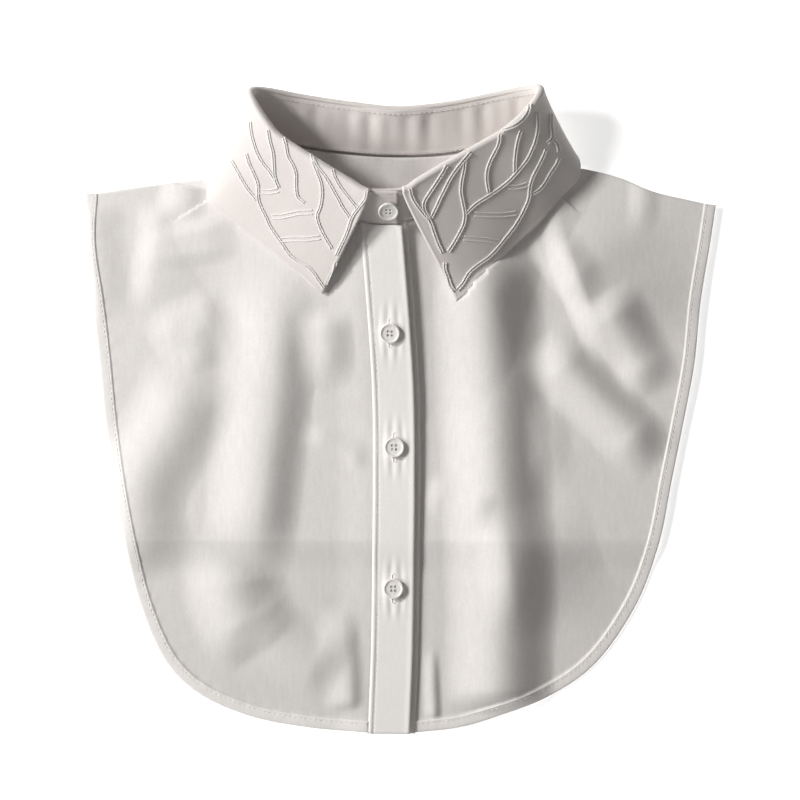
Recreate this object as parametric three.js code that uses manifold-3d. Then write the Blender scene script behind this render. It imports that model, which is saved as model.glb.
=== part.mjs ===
// A detachable shirt collar with bib: two buttoned fronts, a short back, a stand and a pointed fall.
// Millimetres. It lies on its back on a flat surface: +Z up, +X to the wearer's left, +Y to the
// rear of the neck. The finished group has its origin at the bottom centre.
import * as THREE from 'three';
import { mergeVertices } from 'three/addons/utils/BufferGeometryUtils.js';
import Module from 'manifold-3d';

// Sizes of the bib
const bibHalfWidth = 177.5;
const frontLength = 285;
const backLength = 216;
const hemWidth = 6.5;
const placketWidth = 22.5;
const placketRise = 2.6;
const underShow = 2.2;

// Sizes of the collar
const neckHalfWidth = 78.5;
const standHeight = 30.5;
const leafReach = 64;
const rollRadius = 1.5;

// Thicknesses of the cloth
const frontCloth = 1;
const backCloth = 1;
const hemCloth = 1.6;
const placketCloth = 1.4;
const standCloth = 1.6;
const leafCloth = 1.5;

// Relief and clearances
const foldHeight = 10;
const gap = 0.3;
const seamGap = 0.7;
const backInset = 2;
const leafBow = 5;
const leafGap = 1.1;

// How the cloth lies
// The fronts' folds begin this far from the neck seam and from the bands.
const foldFromNeck = 25;
const foldFromBand = 12;
// Below the back's edge a front comes down to the surface, in thicknesses of the hem.
const comeDown = { from: 4, to: 12 };
// The leaf's share of its reach that lies under the back: all of it, then none.
const leafUnder = { all: 0.3, none: 0.56 };
const slopePower = 1.3;
const rollPullShare = 0.2;

// Buttons
const buttonRadius = 5.75;
const buttonThickness = 2.4;
const buttonRim = 0.6;
const buttonHoleRadius = 0.65;
const buttonHoleSpread = 1.5;
const buttonHoles = 4;
const buttonSides = 18;
const holeSides = 6;

// Half of a button's section, as shares of its radius and thickness. sunk: 1 inside the rim.
const buttonSection = [
  { radius: 0, height: 0, sunk: 0 },
  { radius: 0.8, height: 0, sunk: 0 },
  { radius: 1, height: 0.4, sunk: 0 },
  { radius: 0.94, height: 1, sunk: 0 },
  { radius: 0.8, height: 1, sunk: 0 },
  { radius: 0.68, height: 1, sunk: 1 },
  { radius: 0, height: 1, sunk: 1 },
];

// The collar ring, from its right front end round the rear of the neck to its left front end.
// across, along: the seam, in shares of the half width of the neck, from the middle of the neck.
// lift: the seam's height, in shares of the stand's height. over: 1 where this end lies on top.
// turn, rise: which way the stand leans, in degrees. stand: its height there, as a share.
// heading, reach: the way and length of the leaf in plan, in degrees and shares of its reach.
// bed: 1 or more where the leaf rests on the bib, 0 or less on the surface below. flat: its share
// lying flat.
// ease: how far from the seam the cloth still slopes, in shares of the front's length.
const ring = [
  { across: 0.038, along: -0.496, lift: 0.636, over: 1, turn: 0, rise: 44, stand: 0.85, heading: -25,
    reach: 0.99, bed: 1, flat: 0.3, ease: 0.39 },
  { across: -0.157, along: -0.489, lift: 0.649, over: 1, turn: 0, rise: 43, stand: 0.85, heading: -24.7,
    reach: 0.99, bed: 1, flat: 0.3, ease: 0.39 },
  { across: -0.321, along: -0.457, lift: 0.63, over: 0.3, turn: 5, rise: 40, stand: 0.92, heading: -29.6,
    reach: 0.93, bed: 1, flat: 0.3, ease: 0.38 },
  { across: -0.578, along: -0.357, lift: 0.626, over: 0, turn: 12, rise: 35, stand: 0.97, heading: -36.8,
    reach: 0.877, bed: 1, flat: 0.3, ease: 0.33 },
  { across: -0.863, along: -0.207, lift: 0.584, over: 0, turn: 17, rise: 31, stand: 1, heading: -37.1,
    reach: 0.851, bed: 1, flat: 0.3, ease: 0.24 },
  { across: -0.957, along: -0.094, lift: 0.557, over: 0, turn: 18, rise: 34, stand: 1, heading: -39.4,
    reach: 0.87, bed: 1, flat: 0.3, ease: 0.19 },
  { across: -1.028, along: 0.04, lift: 0.495, over: 0, turn: 17, rise: 38, stand: 1, heading: -33.3,
    reach: 0.822, bed: 1.4, flat: 0.35, ease: 0.14 },
  { across: -1.043, along: 0.159, lift: 0.331, over: 0, turn: 13, rise: 45, stand: 1, heading: -26.5,
    reach: 0.675, bed: 0.6, flat: 0.4, ease: 0.1 },
  { across: -0.934, along: 0.139, lift: 0.18, over: 0, turn: 8, rise: 38, stand: 1, heading: -15.4,
    reach: 0.75, bed: -0.2, flat: 0.75, ease: 0.08 },
  { across: -0.69, along: 0.063, lift: 0.16, over: 0, turn: 4, rise: 26, stand: 1, heading: -8.6,
    reach: 0.73, bed: 0, flat: 0.8, ease: 0.08 },
  { across: -0.328, along: 0.007, lift: 0.15, over: 0, turn: 1, rise: 25, stand: 1, heading: -2.8,
    reach: 0.686, bed: 0, flat: 0.8, ease: 0.08 },
  { across: 0.021, along: -0.014, lift: 0.15, over: 0, turn: 0, rise: 31, stand: 1, heading: 0,
    reach: 0.66, bed: 0, flat: 0.8, ease: 0.08 },
  { across: 0.371, along: 0, lift: 0.15, over: 0, turn: -1, rise: 25, stand: 1, heading: 2.9,
    reach: 0.68, bed: 0, flat: 0.8, ease: 0.08 },
  { across: 0.734, along: 0.07, lift: 0.16, over: 0, turn: -4, rise: 26, stand: 1, heading: 10.1,
    reach: 0.72, bed: 0, flat: 0.8, ease: 0.08 },
  { across: 0.976, along: 0.147, lift: 0.18, over: 0, turn: -8, rise: 38, stand: 1, heading: 19,
    reach: 0.73, bed: -0.2, flat: 0.75, ease: 0.08 },
  { across: 1.084, along: 0.174, lift: 0.331, over: 0, turn: -14, rise: 45, stand: 1, heading: 31.5,
    reach: 0.66, bed: 0.6, flat: 0.25, ease: 0.1 },
  { across: 1.019, along: 0.007, lift: 0.511, over: 0, turn: -19, rise: 38, stand: 1, heading: 41.5,
    reach: 0.75, bed: 1.4, flat: 0.25, ease: 0.14 },
  { across: 0.872, along: -0.14, lift: 0.58, over: 0, turn: -18, rise: 34, stand: 1, heading: 39.3,
    reach: 0.784, bed: 1, flat: 0.3, ease: 0.165 },
  { across: 0.699, along: -0.25, lift: 0.61, over: 0, turn: -15, rise: 31, stand: 1, heading: 34,
    reach: 0.877, bed: 1, flat: 0.4, ease: 0.205 },
  { across: 0.421, along: -0.371, lift: 0.626, over: 0, turn: -10, rise: 35, stand: 0.97, heading: 34.5,
    reach: 0.951, bed: 1, flat: 0.3, ease: 0.33 },
  { across: 0.193, along: -0.457, lift: 0.63, over: 0, turn: -4, rise: 40, stand: 0.92, heading: 32.4,
    reach: 1.008, bed: 1, flat: 0.3, ease: 0.38 },
  { across: 0.064, along: -0.489, lift: 0.643, over: 0, turn: 0, rise: 43, stand: 0.85, heading: 25.7,
    reach: 1.09, bed: 1, flat: 0.3, ease: 0.39 },
  { across: -0.17, along: -0.496, lift: 0.636, over: 0, turn: 0, rise: 44, stand: 0.85, heading: 25,
    reach: 1.09, bed: 1, flat: 0.3, ease: 0.39 },
];
const place = { rightEnd: 0, rightPoint: 1, rightNeck: 6, leftNeck: 16, leftPoint: 21, leftEnd: 22 };
// The back's neck seam ends this far inside the fronts' ones, in rows of the ring.
const backNeckInset = 0.5;

// The outer edge of each front from the shoulder corner to the bottom of the placket.
// along: share of the front's length below the neck seam. right, left: shares of the half width.
const cornerAlong = { right: -0.061, left: -0.037 };
const outline = [
  { along: -0.05, right: 0.966, left: 1.017 },
  { along: 0.035, right: 0.972, left: 1 },
  { along: 0.153, right: 0.946, left: 0.969 },
  { along: 0.271, right: 0.924, left: 0.95 },
  { along: 0.389, right: 0.905, left: 0.915 },
  { along: 0.507, right: 0.877, left: 0.877 },
  { along: 0.625, right: 0.842, left: 0.839 },
  { along: 0.743, right: 0.798, left: 0.77 },
  { along: 0.861, right: 0.713, left: 0.64 },
  { along: 0.92, right: 0.615, left: 0.511 },
  { along: 0.965, right: 0.454, left: 0.334 },
  { along: 0.988, right: 0.265, left: 0.208 },
  { along: 0.998, right: 0.063, left: 0.076 },
];

// The shoulder edges between the corner and the collar, in the same shares.
const shoulderPoints = {
  right: [{ across: 0.77, along: -0.075 }, { across: 0.574, along: -0.09 }, { across: 0.511, along: -0.1 }],
  left: [{ across: 0.808, along: -0.066 }, { across: 0.719, along: -0.09 }, { across: 0.596, along: -0.108 },
    { across: 0.524, along: -0.108 }],
};

// How far the placket swings to the wearer's left, in shares of its width, at equal steps from the
// neck seam down to the hem.
const placketSwing = [{ swing: -0.27 }, { swing: -0.1 }, { swing: 0.03 }, { swing: 0.05 }, { swing: 0.03 },
  { swing: 0 }, { swing: -0.08 }];

// The long folds of the fronts: each crest runs between two places, given like the outline's.
// near, far: how wide it is towards the placket and away from it. height: share of foldHeight.
// start, end: the shares of its length over which it rises and dies away.
const folds = {
  right: [
    { across: 0.366, along: 0.05, toAcross: 0.347, toAlong: 0.8, near: 0.1, far: 0.2, height: 0.75,
      start: 0.25, end: 0.3 },
    { across: 0.565, along: 0.2, toAcross: 0.8, toAlong: 0.6, near: 0.12, far: 0.17, height: 0.35,
      start: 0.3, end: 0.3 },
    { across: 0.186, along: 0.74, toAcross: 0.101, toAlong: 1, near: 0.045, far: 0.08, height: 0.28,
      start: 0.5, end: 0.1 },
    { across: 0.77, along: -0.07, toAcross: 0.738, toAlong: 0.2, near: 0.06, far: 0.08, height: 0.22,
      start: 0.4, end: 0.5 },
  ],
  left: [
    { across: 0.325, along: 0.01, toAcross: 0.334, toAlong: 1, near: 0.22, far: 0.13, height: 1,
      start: 0.2, end: 0.12 },
    { across: 0.486, along: 0.06, toAcross: 0.864, toAlong: 0.4, near: 0.09, far: 0.17, height: 0.45,
      start: 0.3, end: 0.2 },
    { across: 0.49, along: 0.27, toAcross: 0.807, toAlong: 0.6, near: 0.16, far: 0.09, height: 0.35,
      start: 0.3, end: 0.3 },
    { across: 0.139, along: 0.72, toAcross: 0.126, toAlong: 1, near: 0.04, far: 0.05, height: 0.25,
      start: 0.5, end: 0.1 },
  ],
};

// Buttons down the placket, as shares of the front's length below the neck seam.
const placketButtons = [0.214, 0.438, 0.715];
const standButton = { height: 0.4, across: -0.03 };

// Mesh divisions
const frontRows = 22;
const frontColumns = 26;
const hemRows = 2;
const backRows = 12;
const shoulderColumns = 6;
const neckColumns = 10;
const ringStations = 44;
const endStations = 2;
const standRows = 3;
const rollRows = 3;
const leafRows = 7;
const placketRows = 24;
const placketColumns = 2;
const backHemColumns = 30;
const backHemSideShare = 0.4;
const rearSeamSteps = 40;
const frontSeamSteps = 60;
const curveSteps = 400;
const halvings = 40;
// Rows crowd towards the neck by these powers.
const frontCrowd = 1.1;
const backCrowd = 1.3;

// Places worked out from the sizes
const frontSeam = seamAt(place.leftEnd).y;
const hemLine = frontSeam - frontLength;
const backEdge = -backLength;
const placketRight = -placketWidth / 2;
const placketLeft = placketWidth / 2;
const underLeft = placketLeft + underShow;
const underRight = placketRight + underShow;
const step = placketCloth + gap;
const leafBed = leafCloth + gap;

// Helpers on numbers and tables
function smooth(from, to, value) {
  const t = Math.min(1, Math.max(0, (value - from) / (to - from)));
  return t * t * (3 - 2 * t);
}

function mix(a, b, t) {
  return a + (b - a) * t;
}

// The value of one column of a table between its rows, on a smooth curve through them.
function columnAt(rows, column, at) {
  const i = Math.min(rows.length - 2, Math.max(0, Math.floor(at)));
  const t = at - i;
  const value = (k) => rows[Math.min(rows.length - 1, Math.max(0, k))][column];
  const [a, b, c, d] = [value(i - 1), value(i), value(i + 1), value(i + 2)];
  const slopeStart = i === 0 ? c - b : (c - a) / 2;
  const slopeEnd = i === rows.length - 2 ? c - b : (d - b) / 2;
  const t2 = t * t;
  const t3 = t2 * t;
  return (2 * t3 - 3 * t2 + 1) * b + (t3 - 2 * t2 + t) * slopeStart
    + (3 * t2 - 2 * t3) * c + (t3 - t2) * slopeEnd;
}

// How far the middle of the placket lies from the straight line down the bib.
function swingAt(y) {
  const along = Math.min(1, Math.max(0, (frontSeam - y) / frontLength));
  return columnAt(placketSwing, 'swing', along * (placketSwing.length - 1)) * placketWidth;
}

// The ring
function leanAt(at) {
  const turn = THREE.MathUtils.degToRad(columnAt(ring, 'turn', at));
  const rise = THREE.MathUtils.degToRad(columnAt(ring, 'rise', at));
  return new THREE.Vector3(
    Math.sin(turn) * Math.cos(rise), Math.cos(turn) * Math.cos(rise), Math.sin(rise));
}

function seamAt(at) {
  const lean = leanAt(at);
  const over = columnAt(ring, 'over', at) * (standCloth + gap);
  return new THREE.Vector3(
    columnAt(ring, 'across', at) * neckHalfWidth,
    columnAt(ring, 'along', at) * neckHalfWidth - over * lean.z,
    columnAt(ring, 'lift', at) * standHeight + over * lean.y);
}

function standPoint(at, height) {
  return seamAt(at).addScaledVector(leanAt(at), height);
}

function standHeightAt(at) {
  return columnAt(ring, 'stand', at) * standHeight;
}

// The way out of the ring, square to the stand.
function outwardAt(at) {
  const near = 0.05;
  const middle = standHeightAt(at) / 2;
  const along = standPoint(at + near, middle).sub(standPoint(at - near, middle));
  return leanAt(at).cross(along).normalize();
}

// The place on the ring where the seam is this far across, between two places.
function placeAcross(across, from, to) {
  let [low, high] = [from, to];
  const rising = seamAt(to).x > seamAt(from).x;
  for (let i = 0; i < halvings; i += 1) {
    const middle = (low + high) / 2;
    if ((seamAt(middle).x < across) === rising) low = middle;
    else high = middle;
  }
  return (low + high) / 2;
}

// A stretch of the seam as points, with what the cloth beside it needs.
function seamLine(from, to, count) {
  return Array.from({ length: count + 1 }, (_, i) => {
    const at = mix(from, to, i / count);
    return { point: seamAt(at), ease: columnAt(ring, 'ease', at) * frontLength };
  });
}

// The nearest place on a seam line in plan: its distance, and its values there.
function nearestOn(line, x, y) {
  let best = { distance: Infinity };
  for (let i = 0; i + 1 < line.length; i += 1) {
    const a = line[i].point;
    const b = line[i + 1].point;
    const run = (b.x - a.x) ** 2 + (b.y - a.y) ** 2;
    const t = Math.min(1, Math.max(0, ((x - a.x) * (b.x - a.x) + (y - a.y) * (b.y - a.y)) / run));
    const distance = Math.hypot(x - mix(a.x, b.x, t), y - mix(a.y, b.y, t));
    if (distance < best.distance) {
      best = { distance, lift: mix(line[i].lift, line[i + 1].lift, t),
        ease: mix(line[i].ease, line[i + 1].ease, t) };
    }
  }
  return best;
}

// The share of a seam's lift that is left at this distance from it.
function slopeShare(distance, ease) {
  return Math.max(0, 1 - distance / ease) ** slopePower;
}

// The back panel lies flat, and rises over the leaf under it and to the seam.
const rearSeam = seamLine(place.rightNeck + backNeckInset, place.leftNeck - backNeckInset, rearSeamSteps);

function backFlat(distance) {
  return backCloth / 2 + leafBed * (1 - smooth(leafUnder.all, leafUnder.none, distance / leafReach));
}

rearSeam.forEach((spot) => {
  spot.lift = spot.point.z - backFlat(0);
});

function backHeight(x, y) {
  const near = nearestOn(rearSeam, x, y);
  return backFlat(near.distance) + near.lift * slopeShare(near.distance, near.ease);
}

// What a front lies on: the back panel and its hem, or the surface below them.
function bedHeight(x, y) {
  const onBack = backHeight(x, y) + backCloth / 2 + hemCloth - backCloth + gap;
  const below = (backEdge - y) / hemCloth;
  return mix(onBack, 0, smooth(comeDown.from, comeDown.to, below)) + frontCloth / 2;
}

// A front beside the placket rises to the level of the band that it carries.
function sideStep(side, x, y) {
  return side.name === 'right' ? step * smooth(placketRight - placketWidth, placketRight, x - swingAt(y)) : 0;
}

function foldRise(side, x, y) {
  let rise = 0;
  folds[side.name].forEach((fold) => {
    const fromX = fold.across * bibHalfWidth;
    const fromY = frontSeam - fold.along * frontLength;
    const runX = fold.toAcross * bibHalfWidth - fromX;
    const runY = frontSeam - fold.toAlong * frontLength - fromY;
    const length = Math.hypot(runX, runY);
    const dx = side.sign * x - fromX;
    const dy = y - fromY;
    const t = (dx * runX + dy * runY) / length ** 2;
    const away = (-runY * dx + runX * dy) / length;
    const width = (away > 0 ? fold.far : fold.near) * bibHalfWidth;
    if (t < 0 || t > 1 || Math.abs(away) > width) return;
    const ends = smooth(0, fold.start, t) * smooth(0, fold.end, 1 - t);
    rise += fold.height * foldHeight * ends * (0.5 + 0.5 * Math.cos(Math.PI * away / width));
  });
  return rise;
}

const sides = [
  { name: 'right', sign: -1, edge: placketRight, neck: place.rightNeck,
    backNeck: place.rightNeck + backNeckInset, end: place.rightEnd },
  { name: 'left', sign: 1, edge: underLeft, neck: place.leftNeck,
    backNeck: place.leftNeck - backNeckInset, end: place.leftEnd },
];

sides.forEach((side) => {
  side.edgePlace = placeAcross(side.edge + swingAt(frontSeam), side.end, side.neck);
  side.seam = seamLine(side.end, side.neck, frontSeamSteps);
  side.seam.forEach((spot) => {
    const { x, y, z } = spot.point;
    spot.lift = z - bedHeight(x, y) - sideStep(side, x, y);
  });
});

// The height of the middle of a front's cloth.
function frontHeight(side, x, y) {
  const near = nearestOn(side.seam, x, y);
  const fromBand = Math.abs(x - swingAt(y) - side.edge);
  const clear = smooth(0, foldFromNeck, near.distance) * smooth(0, foldFromBand, fromBand);
  return bedHeight(x, y) + sideStep(side, x, y) + near.lift * slopeShare(near.distance, near.ease)
    + foldRise(side, x, y) * clear;
}

// Solids of cloth: a grid of middle points, thickened both ways along its normals
function sheet(columns, rows, middle, thickness) {
  const grid = [];
  for (let i = 0; i <= columns; i += 1) {
    for (let j = 0; j <= rows; j += 1) {
      grid.push(middle(i / columns, j / rows));
    }
  }
  const at = (i, j) => i * (rows + 1) + j;
  const upper = [];
  const lower = [];
  for (let i = 0; i <= columns; i += 1) {
    for (let j = 0; j <= rows; j += 1) {
      const alongU = grid[at(Math.min(columns, i + 1), j)].clone().sub(grid[at(Math.max(0, i - 1), j)]);
      const alongV = grid[at(i, Math.min(rows, j + 1))].clone().sub(grid[at(i, Math.max(0, j - 1))]);
      const normal = alongU.cross(alongV).normalize();
      upper.push(grid[at(i, j)].clone().addScaledVector(normal, thickness / 2));
      lower.push(grid[at(i, j)].clone().addScaledVector(normal, -thickness / 2));
    }
  }
  const count = grid.length;
  const faces = [];
  // A cell is split along its more level diagonal, so that crests stay smooth.
  const quad = (a, b, c, d) => {
    const height = (k) => grid[k % count].z;
    const level = Math.abs(height(a) - height(c)) <= Math.abs(height(b) - height(d));
    faces.push(...(level ? [a, b, c, a, c, d] : [a, b, d, b, c, d]));
  };
  for (let i = 0; i < columns; i += 1) {
    for (let j = 0; j < rows; j += 1) {
      quad(at(i, j), at(i + 1, j), at(i + 1, j + 1), at(i, j + 1));
      quad(count + at(i, j), count + at(i, j + 1), count + at(i + 1, j + 1), count + at(i + 1, j));
    }
  }
  const wall = (a, b) => quad(b, a, count + a, count + b);
  for (let i = 0; i < columns; i += 1) {
    wall(at(i, 0), at(i + 1, 0));
    wall(at(i + 1, rows), at(i, rows));
  }
  for (let j = 0; j < rows; j += 1) {
    wall(at(0, j + 1), at(0, j));
    wall(at(columns, j), at(columns, j + 1));
  }
  return closedGeometry([...upper, ...lower], faces);
}

// A geometry with its faces turned outwards.
function closedGeometry(points, faces) {
  let volume = 0;
  for (let i = 0; i < faces.length; i += 3) {
    const [a, b, c] = [points[faces[i]], points[faces[i + 1]], points[faces[i + 2]]];
    volume += a.dot(b.clone().cross(c));
  }
  const ordered = volume < 0 ? faces.slice().reverse() : faces;
  const geometry = new THREE.BufferGeometry();
  const numbers = points.flatMap((p) => [p.x, p.y, p.z]);
  geometry.setAttribute('position', new THREE.Float32BufferAttribute(numbers, 3));
  geometry.setIndex(ordered);
  geometry.computeVertexNormals();
  return geometry;
}

// A four-sided patch in plan: top and bottom run with u, start and end run with v.
function patch(top, bottom, start, end) {
  return (u, v) => {
    const point = top(u).multiplyScalar(1 - v).add(bottom(u).multiplyScalar(v));
    point.add(start(v).multiplyScalar(1 - u)).add(end(v).multiplyScalar(u));
    point.addScaledVector(top(0), -(1 - u) * (1 - v)).addScaledVector(top(1), -u * (1 - v));
    return point.addScaledVector(bottom(0), -(1 - u) * v).addScaledVector(bottom(1), -u * v);
  };
}

// A smooth plan curve through points, by its length.
function planCurve(points) {
  const curve = new THREE.CatmullRomCurve3(points.map((p) => new THREE.Vector3(p.x, p.y, 0)));
  curve.arcLengthDivisions = curveSteps;
  return (t) => {
    const p = curve.getPointAt(t);
    return new THREE.Vector2(p.x, p.y);
  };
}

// The seam in plan, moved out of the ring by a distance, or into it by a negative one.
function seamPlan(at, away) {
  const near = 0.02;
  const along = seamAt(at + near).sub(seamAt(at - near));
  const out = new THREE.Vector2(-along.y, along.x).normalize();
  const seam = seamAt(at);
  return new THREE.Vector2(seam.x, seam.y).addScaledVector(out, away);
}

// Outer edges
function bibPoint(side, across, along) {
  return new THREE.Vector2(side.sign * across * bibHalfWidth, frontSeam - along * frontLength);
}

// A side's outer edge, moved inwards by a distance, from the shoulder corner to the bottom middle.
function edgeCurve(side, inset) {
  const points = outline.map((row) => bibPoint(side, row[side.name], row.along));
  points[0].y = frontSeam - cornerAlong[side.name] * frontLength;
  points[points.length - 1].x = side.edge + side.sign * gap + swingAt(hemLine);
  const inner = points.map((point, i) => {
    const along = points[Math.min(points.length - 1, i + 1)].clone().sub(points[Math.max(0, i - 1)]);
    const inward = new THREE.Vector2(-along.y, along.x).normalize();
    return point.clone().addScaledVector(inward, -side.sign * inset);
  });
  inner[inner.length - 1].x = points[points.length - 1].x;
  return planCurve(inner);
}

function shoulderCurve(side, neck, corner) {
  const between = shoulderPoints[side.name].map((row) => bibPoint(side, row.across, row.along));
  return planCurve([neck, ...between.reverse(), corner]);
}

// Pieces
function frontPanel(side) {
  const hem = edgeCurve(side, hemWidth + gap);
  const neck = (u) => seamPlan(mix(side.edgePlace, side.neck, u), seamGap);
  const centre = (v) => {
    const y = mix(neck(0).y, hem(1).y, v);
    return new THREE.Vector2(side.edge + side.sign * gap + swingAt(y), y);
  };
  const top = (u) => (u === 0 ? centre(0) : neck(u));
  const shoulder = shoulderCurve(side, neck(1), hem(0));
  const plan = patch(top, (u) => hem(1 - u), centre, shoulder);
  return sheet(frontColumns, frontRows, (u, v) => {
    const p = plan(u, v ** frontCrowd);
    return new THREE.Vector3(p.x, p.y, frontHeight(side, p.x, p.y));
  }, frontCloth);
}

function frontHem(side) {
  const outer = edgeCurve(side, 0);
  const inner = edgeCurve(side, hemWidth);
  return sheet(frontColumns, hemRows, (u, v) => {
    const p = outer(u).lerp(inner(u), v);
    const z = frontHeight(side, p.x, p.y) + (hemCloth - frontCloth) / 2;
    return new THREE.Vector3(p.x, p.y, z);
  }, hemCloth);
}

// A side edge of the back, from the shoulder corner down to the back's lower edge.
function backSide(side, inset) {
  const edge = edgeCurve(side, backInset + inset);
  const bottom = backEdge + inset;
  let [low, high] = [0, 1];
  for (let i = 0; i < halvings; i += 1) {
    const middle = (low + high) / 2;
    if (edge(middle).y > bottom) low = middle;
    else high = middle;
  }
  return (t) => edge(t * low);
}

function backPanel() {
  const [right, left] = sides.map((side) => backSide(side, hemWidth + gap));
  const neck = (t) => seamPlan(mix(sides[0].backNeck, sides[1].backNeck, t), -seamGap);
  const corners = [right(0), left(0)];
  const [shoulderRight, shoulderLeft] = sides.map((side, i) => shoulderCurve(side, neck(i), corners[i]));
  const columns = 2 * shoulderColumns + neckColumns;
  const shoulderShare = shoulderColumns / columns;
  const top = (u) => {
    if (u < shoulderShare) return shoulderRight(1 - u / shoulderShare);
    if (u > 1 - shoulderShare) return shoulderLeft((u - 1 + shoulderShare) / shoulderShare);
    return neck((u - shoulderShare) / (1 - 2 * shoulderShare));
  };
  const bottom = (u) => right(1).lerp(left(1), u);
  const plan = patch(top, bottom, right, left);
  return sheet(columns, backRows, (u, v) => {
    const p = plan(u, v ** backCrowd);
    return new THREE.Vector3(p.x, p.y, backHeight(p.x, p.y));
  }, backCloth);
}

function backHem() {
  const path = (inset) => {
    const [right, left] = sides.map((side) => backSide(side, inset));
    return (u) => {
      if (u <= backHemSideShare) return right(u / backHemSideShare);
      if (u >= 1 - backHemSideShare) return left((1 - u) / backHemSideShare);
      return right(1).lerp(left(1), (u - backHemSideShare) / (1 - 2 * backHemSideShare));
    };
  };
  const outer = path(0);
  const inner = path(hemWidth);
  return sheet(backHemColumns, 1, (u, v) => {
    const p = outer(u).lerp(inner(u), v);
    const z = backHeight(p.x, p.y) + (hemCloth - backCloth) / 2;
    return new THREE.Vector3(p.x, p.y, z);
  }, hemCloth);
}

// The bands down the middle: the under band follows the left front, and the placket lies on it,
// rising from its seam to its free edge.
function bandHeight(y) {
  return frontHeight(sides[1], swingAt(y), y) + (placketCloth - frontCloth) / 2;
}

function centreBand(side, from, to, raise, rise) {
  return sheet(placketRows, placketColumns, (u, v) => {
    const across = mix(from, to, v);
    const at = placeAcross(across + swingAt(frontSeam), side.end, side.neck);
    const y = mix(seamPlan(at, seamGap).y, hemLine, u);
    return new THREE.Vector3(across + swingAt(y), y, bandHeight(y) + raise + rise * v);
  }, placketCloth);
}

// The stand shares its stations with the fall, and goes on to its overlapping ends.
function stand() {
  const top = rollRadius + leafCloth / 2 + seamGap;
  const columns = ringStations + 2 * endStations;
  return sheet(columns, standRows, (u, v) => {
    const i = Math.round(u * columns);
    const share = (i - endStations) / ringStations;
    let at = mix(place.rightPoint, place.leftPoint, share);
    if (i < endStations) at = mix(place.rightEnd, place.rightPoint, i / endStations);
    if (share > 1) at = mix(place.leftPoint, place.leftEnd, (i - endStations - ringStations) / endStations);
    return standPoint(at, mix(seamGap, standHeightAt(at) - top, v));
  }, standCloth);
}

// The fall starts over the stand's top edge, rolls outwards and comes down to the bib.
function fallPoint(at, v) {
  const rolled = rollRows / (rollRows + leafRows);
  const lean = leanAt(at);
  const outward = outwardAt(at);
  const centre = standPoint(at, standHeightAt(at) - rollRadius - leafCloth / 2)
    .addScaledVector(outward, rollRadius);
  if (v < rolled) {
    const angle = Math.PI * v / rolled;
    return centre.addScaledVector(outward, -rollRadius * Math.cos(angle))
      .addScaledVector(lean, rollRadius * Math.sin(angle));
  }
  const heading = THREE.MathUtils.degToRad(columnAt(ring, 'heading', at));
  const reach = columnAt(ring, 'reach', at) * leafReach;
  const fold = standPoint(at, standHeightAt(at));
  const start = centre.addScaledVector(outward, rollRadius);
  const end = bedPoint(at, fold.x + reach * Math.sin(heading), fold.y - reach * Math.cos(heading));
  const flat = columnAt(ring, 'flat', at);
  const drop = start.clone().addScaledVector(lean, -rollPullShare * standHeight);
  const lie = bedPoint(at, mix(end.x, fold.x, flat), mix(end.y, fold.y, flat));
  lie.z += leafBow * bedShare(at);
  return new THREE.CubicBezierCurve3(start, drop, lie, end).getPoint((v - rolled) / (1 - rolled));
}

// Where the leaf lies: on a front, or on the surface under the back.
function bedPoint(at, x, y) {
  const side = at < place.leftEnd / 2 ? sides[0] : sides[1];
  const onBib = frontHeight(side, x, y) + frontCloth / 2 + leafGap;
  return new THREE.Vector3(x, y, bedShare(at) * onBib + leafCloth / 2);
}

function bedShare(at) {
  return Math.min(1, Math.max(0, columnAt(ring, 'bed', at)));
}

function fall() {
  const at = (u) => mix(place.rightPoint, place.leftPoint, u);
  return sheet(ringStations, rollRows + leafRows, (u, v) => fallPoint(at(u), v), leafCloth);
}

// A flat button with a raised rim and four holes
const manifold = await Module();
manifold.setup();

function toSolid(geometry) {
  const plain = geometry.clone();
  plain.deleteAttribute('normal');
  plain.deleteAttribute('uv');
  const merged = mergeVertices(plain, 1e-4);
  return new manifold.Manifold(new manifold.Mesh({
    numProp: 3,
    vertProperties: new Float32Array(merged.attributes.position.array),
    triVerts: new Uint32Array(merged.index.array),
  }));
}

function fromSolid(solid) {
  const mesh = solid.getMesh();
  const geometry = new THREE.BufferGeometry();
  geometry.setAttribute('position', new THREE.BufferAttribute(mesh.vertProperties, 3));
  geometry.setIndex(new THREE.BufferAttribute(mesh.triVerts, 1));
  geometry.computeVertexNormals();
  return geometry;
}

function buttonGeometry() {
  const profile = buttonSection.map((row) => new THREE.Vector2(
    row.radius * buttonRadius, row.height * buttonThickness - row.sunk * buttonRim));
  const disc = new THREE.LatheGeometry(profile, buttonSides).rotateX(Math.PI / 2);
  let solid = toSolid(disc);
  const drillLength = 4 * buttonThickness;
  for (let i = 0; i < buttonHoles; i += 1) {
    const angle = (i + 0.5) * 2 * Math.PI / buttonHoles;
    const drill = new THREE.CylinderGeometry(buttonHoleRadius, buttonHoleRadius, drillLength, holeSides)
      .rotateX(Math.PI / 2)
      .translate(buttonHoleSpread * Math.cos(angle), buttonHoleSpread * Math.sin(angle), 0);
    solid = solid.subtract(toSolid(drill));
  }
  return fromSolid(solid);
}

// Materials
const clothMaterial = (color) => new THREE.MeshStandardMaterial({ color, roughness: 0.8, metalness: 0 });
const bibMaterial = clothMaterial(0xe6e1dc);
const collarMaterial = clothMaterial(0xeae5e0);
const bandMaterial = clothMaterial(0xece7e2);
const buttonMaterial = new THREE.MeshStandardMaterial({ color: 0xf2efea, roughness: 0.3, metalness: 0 });

const group = new THREE.Group();
const lying = new THREE.Group();
group.add(lying);

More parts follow.
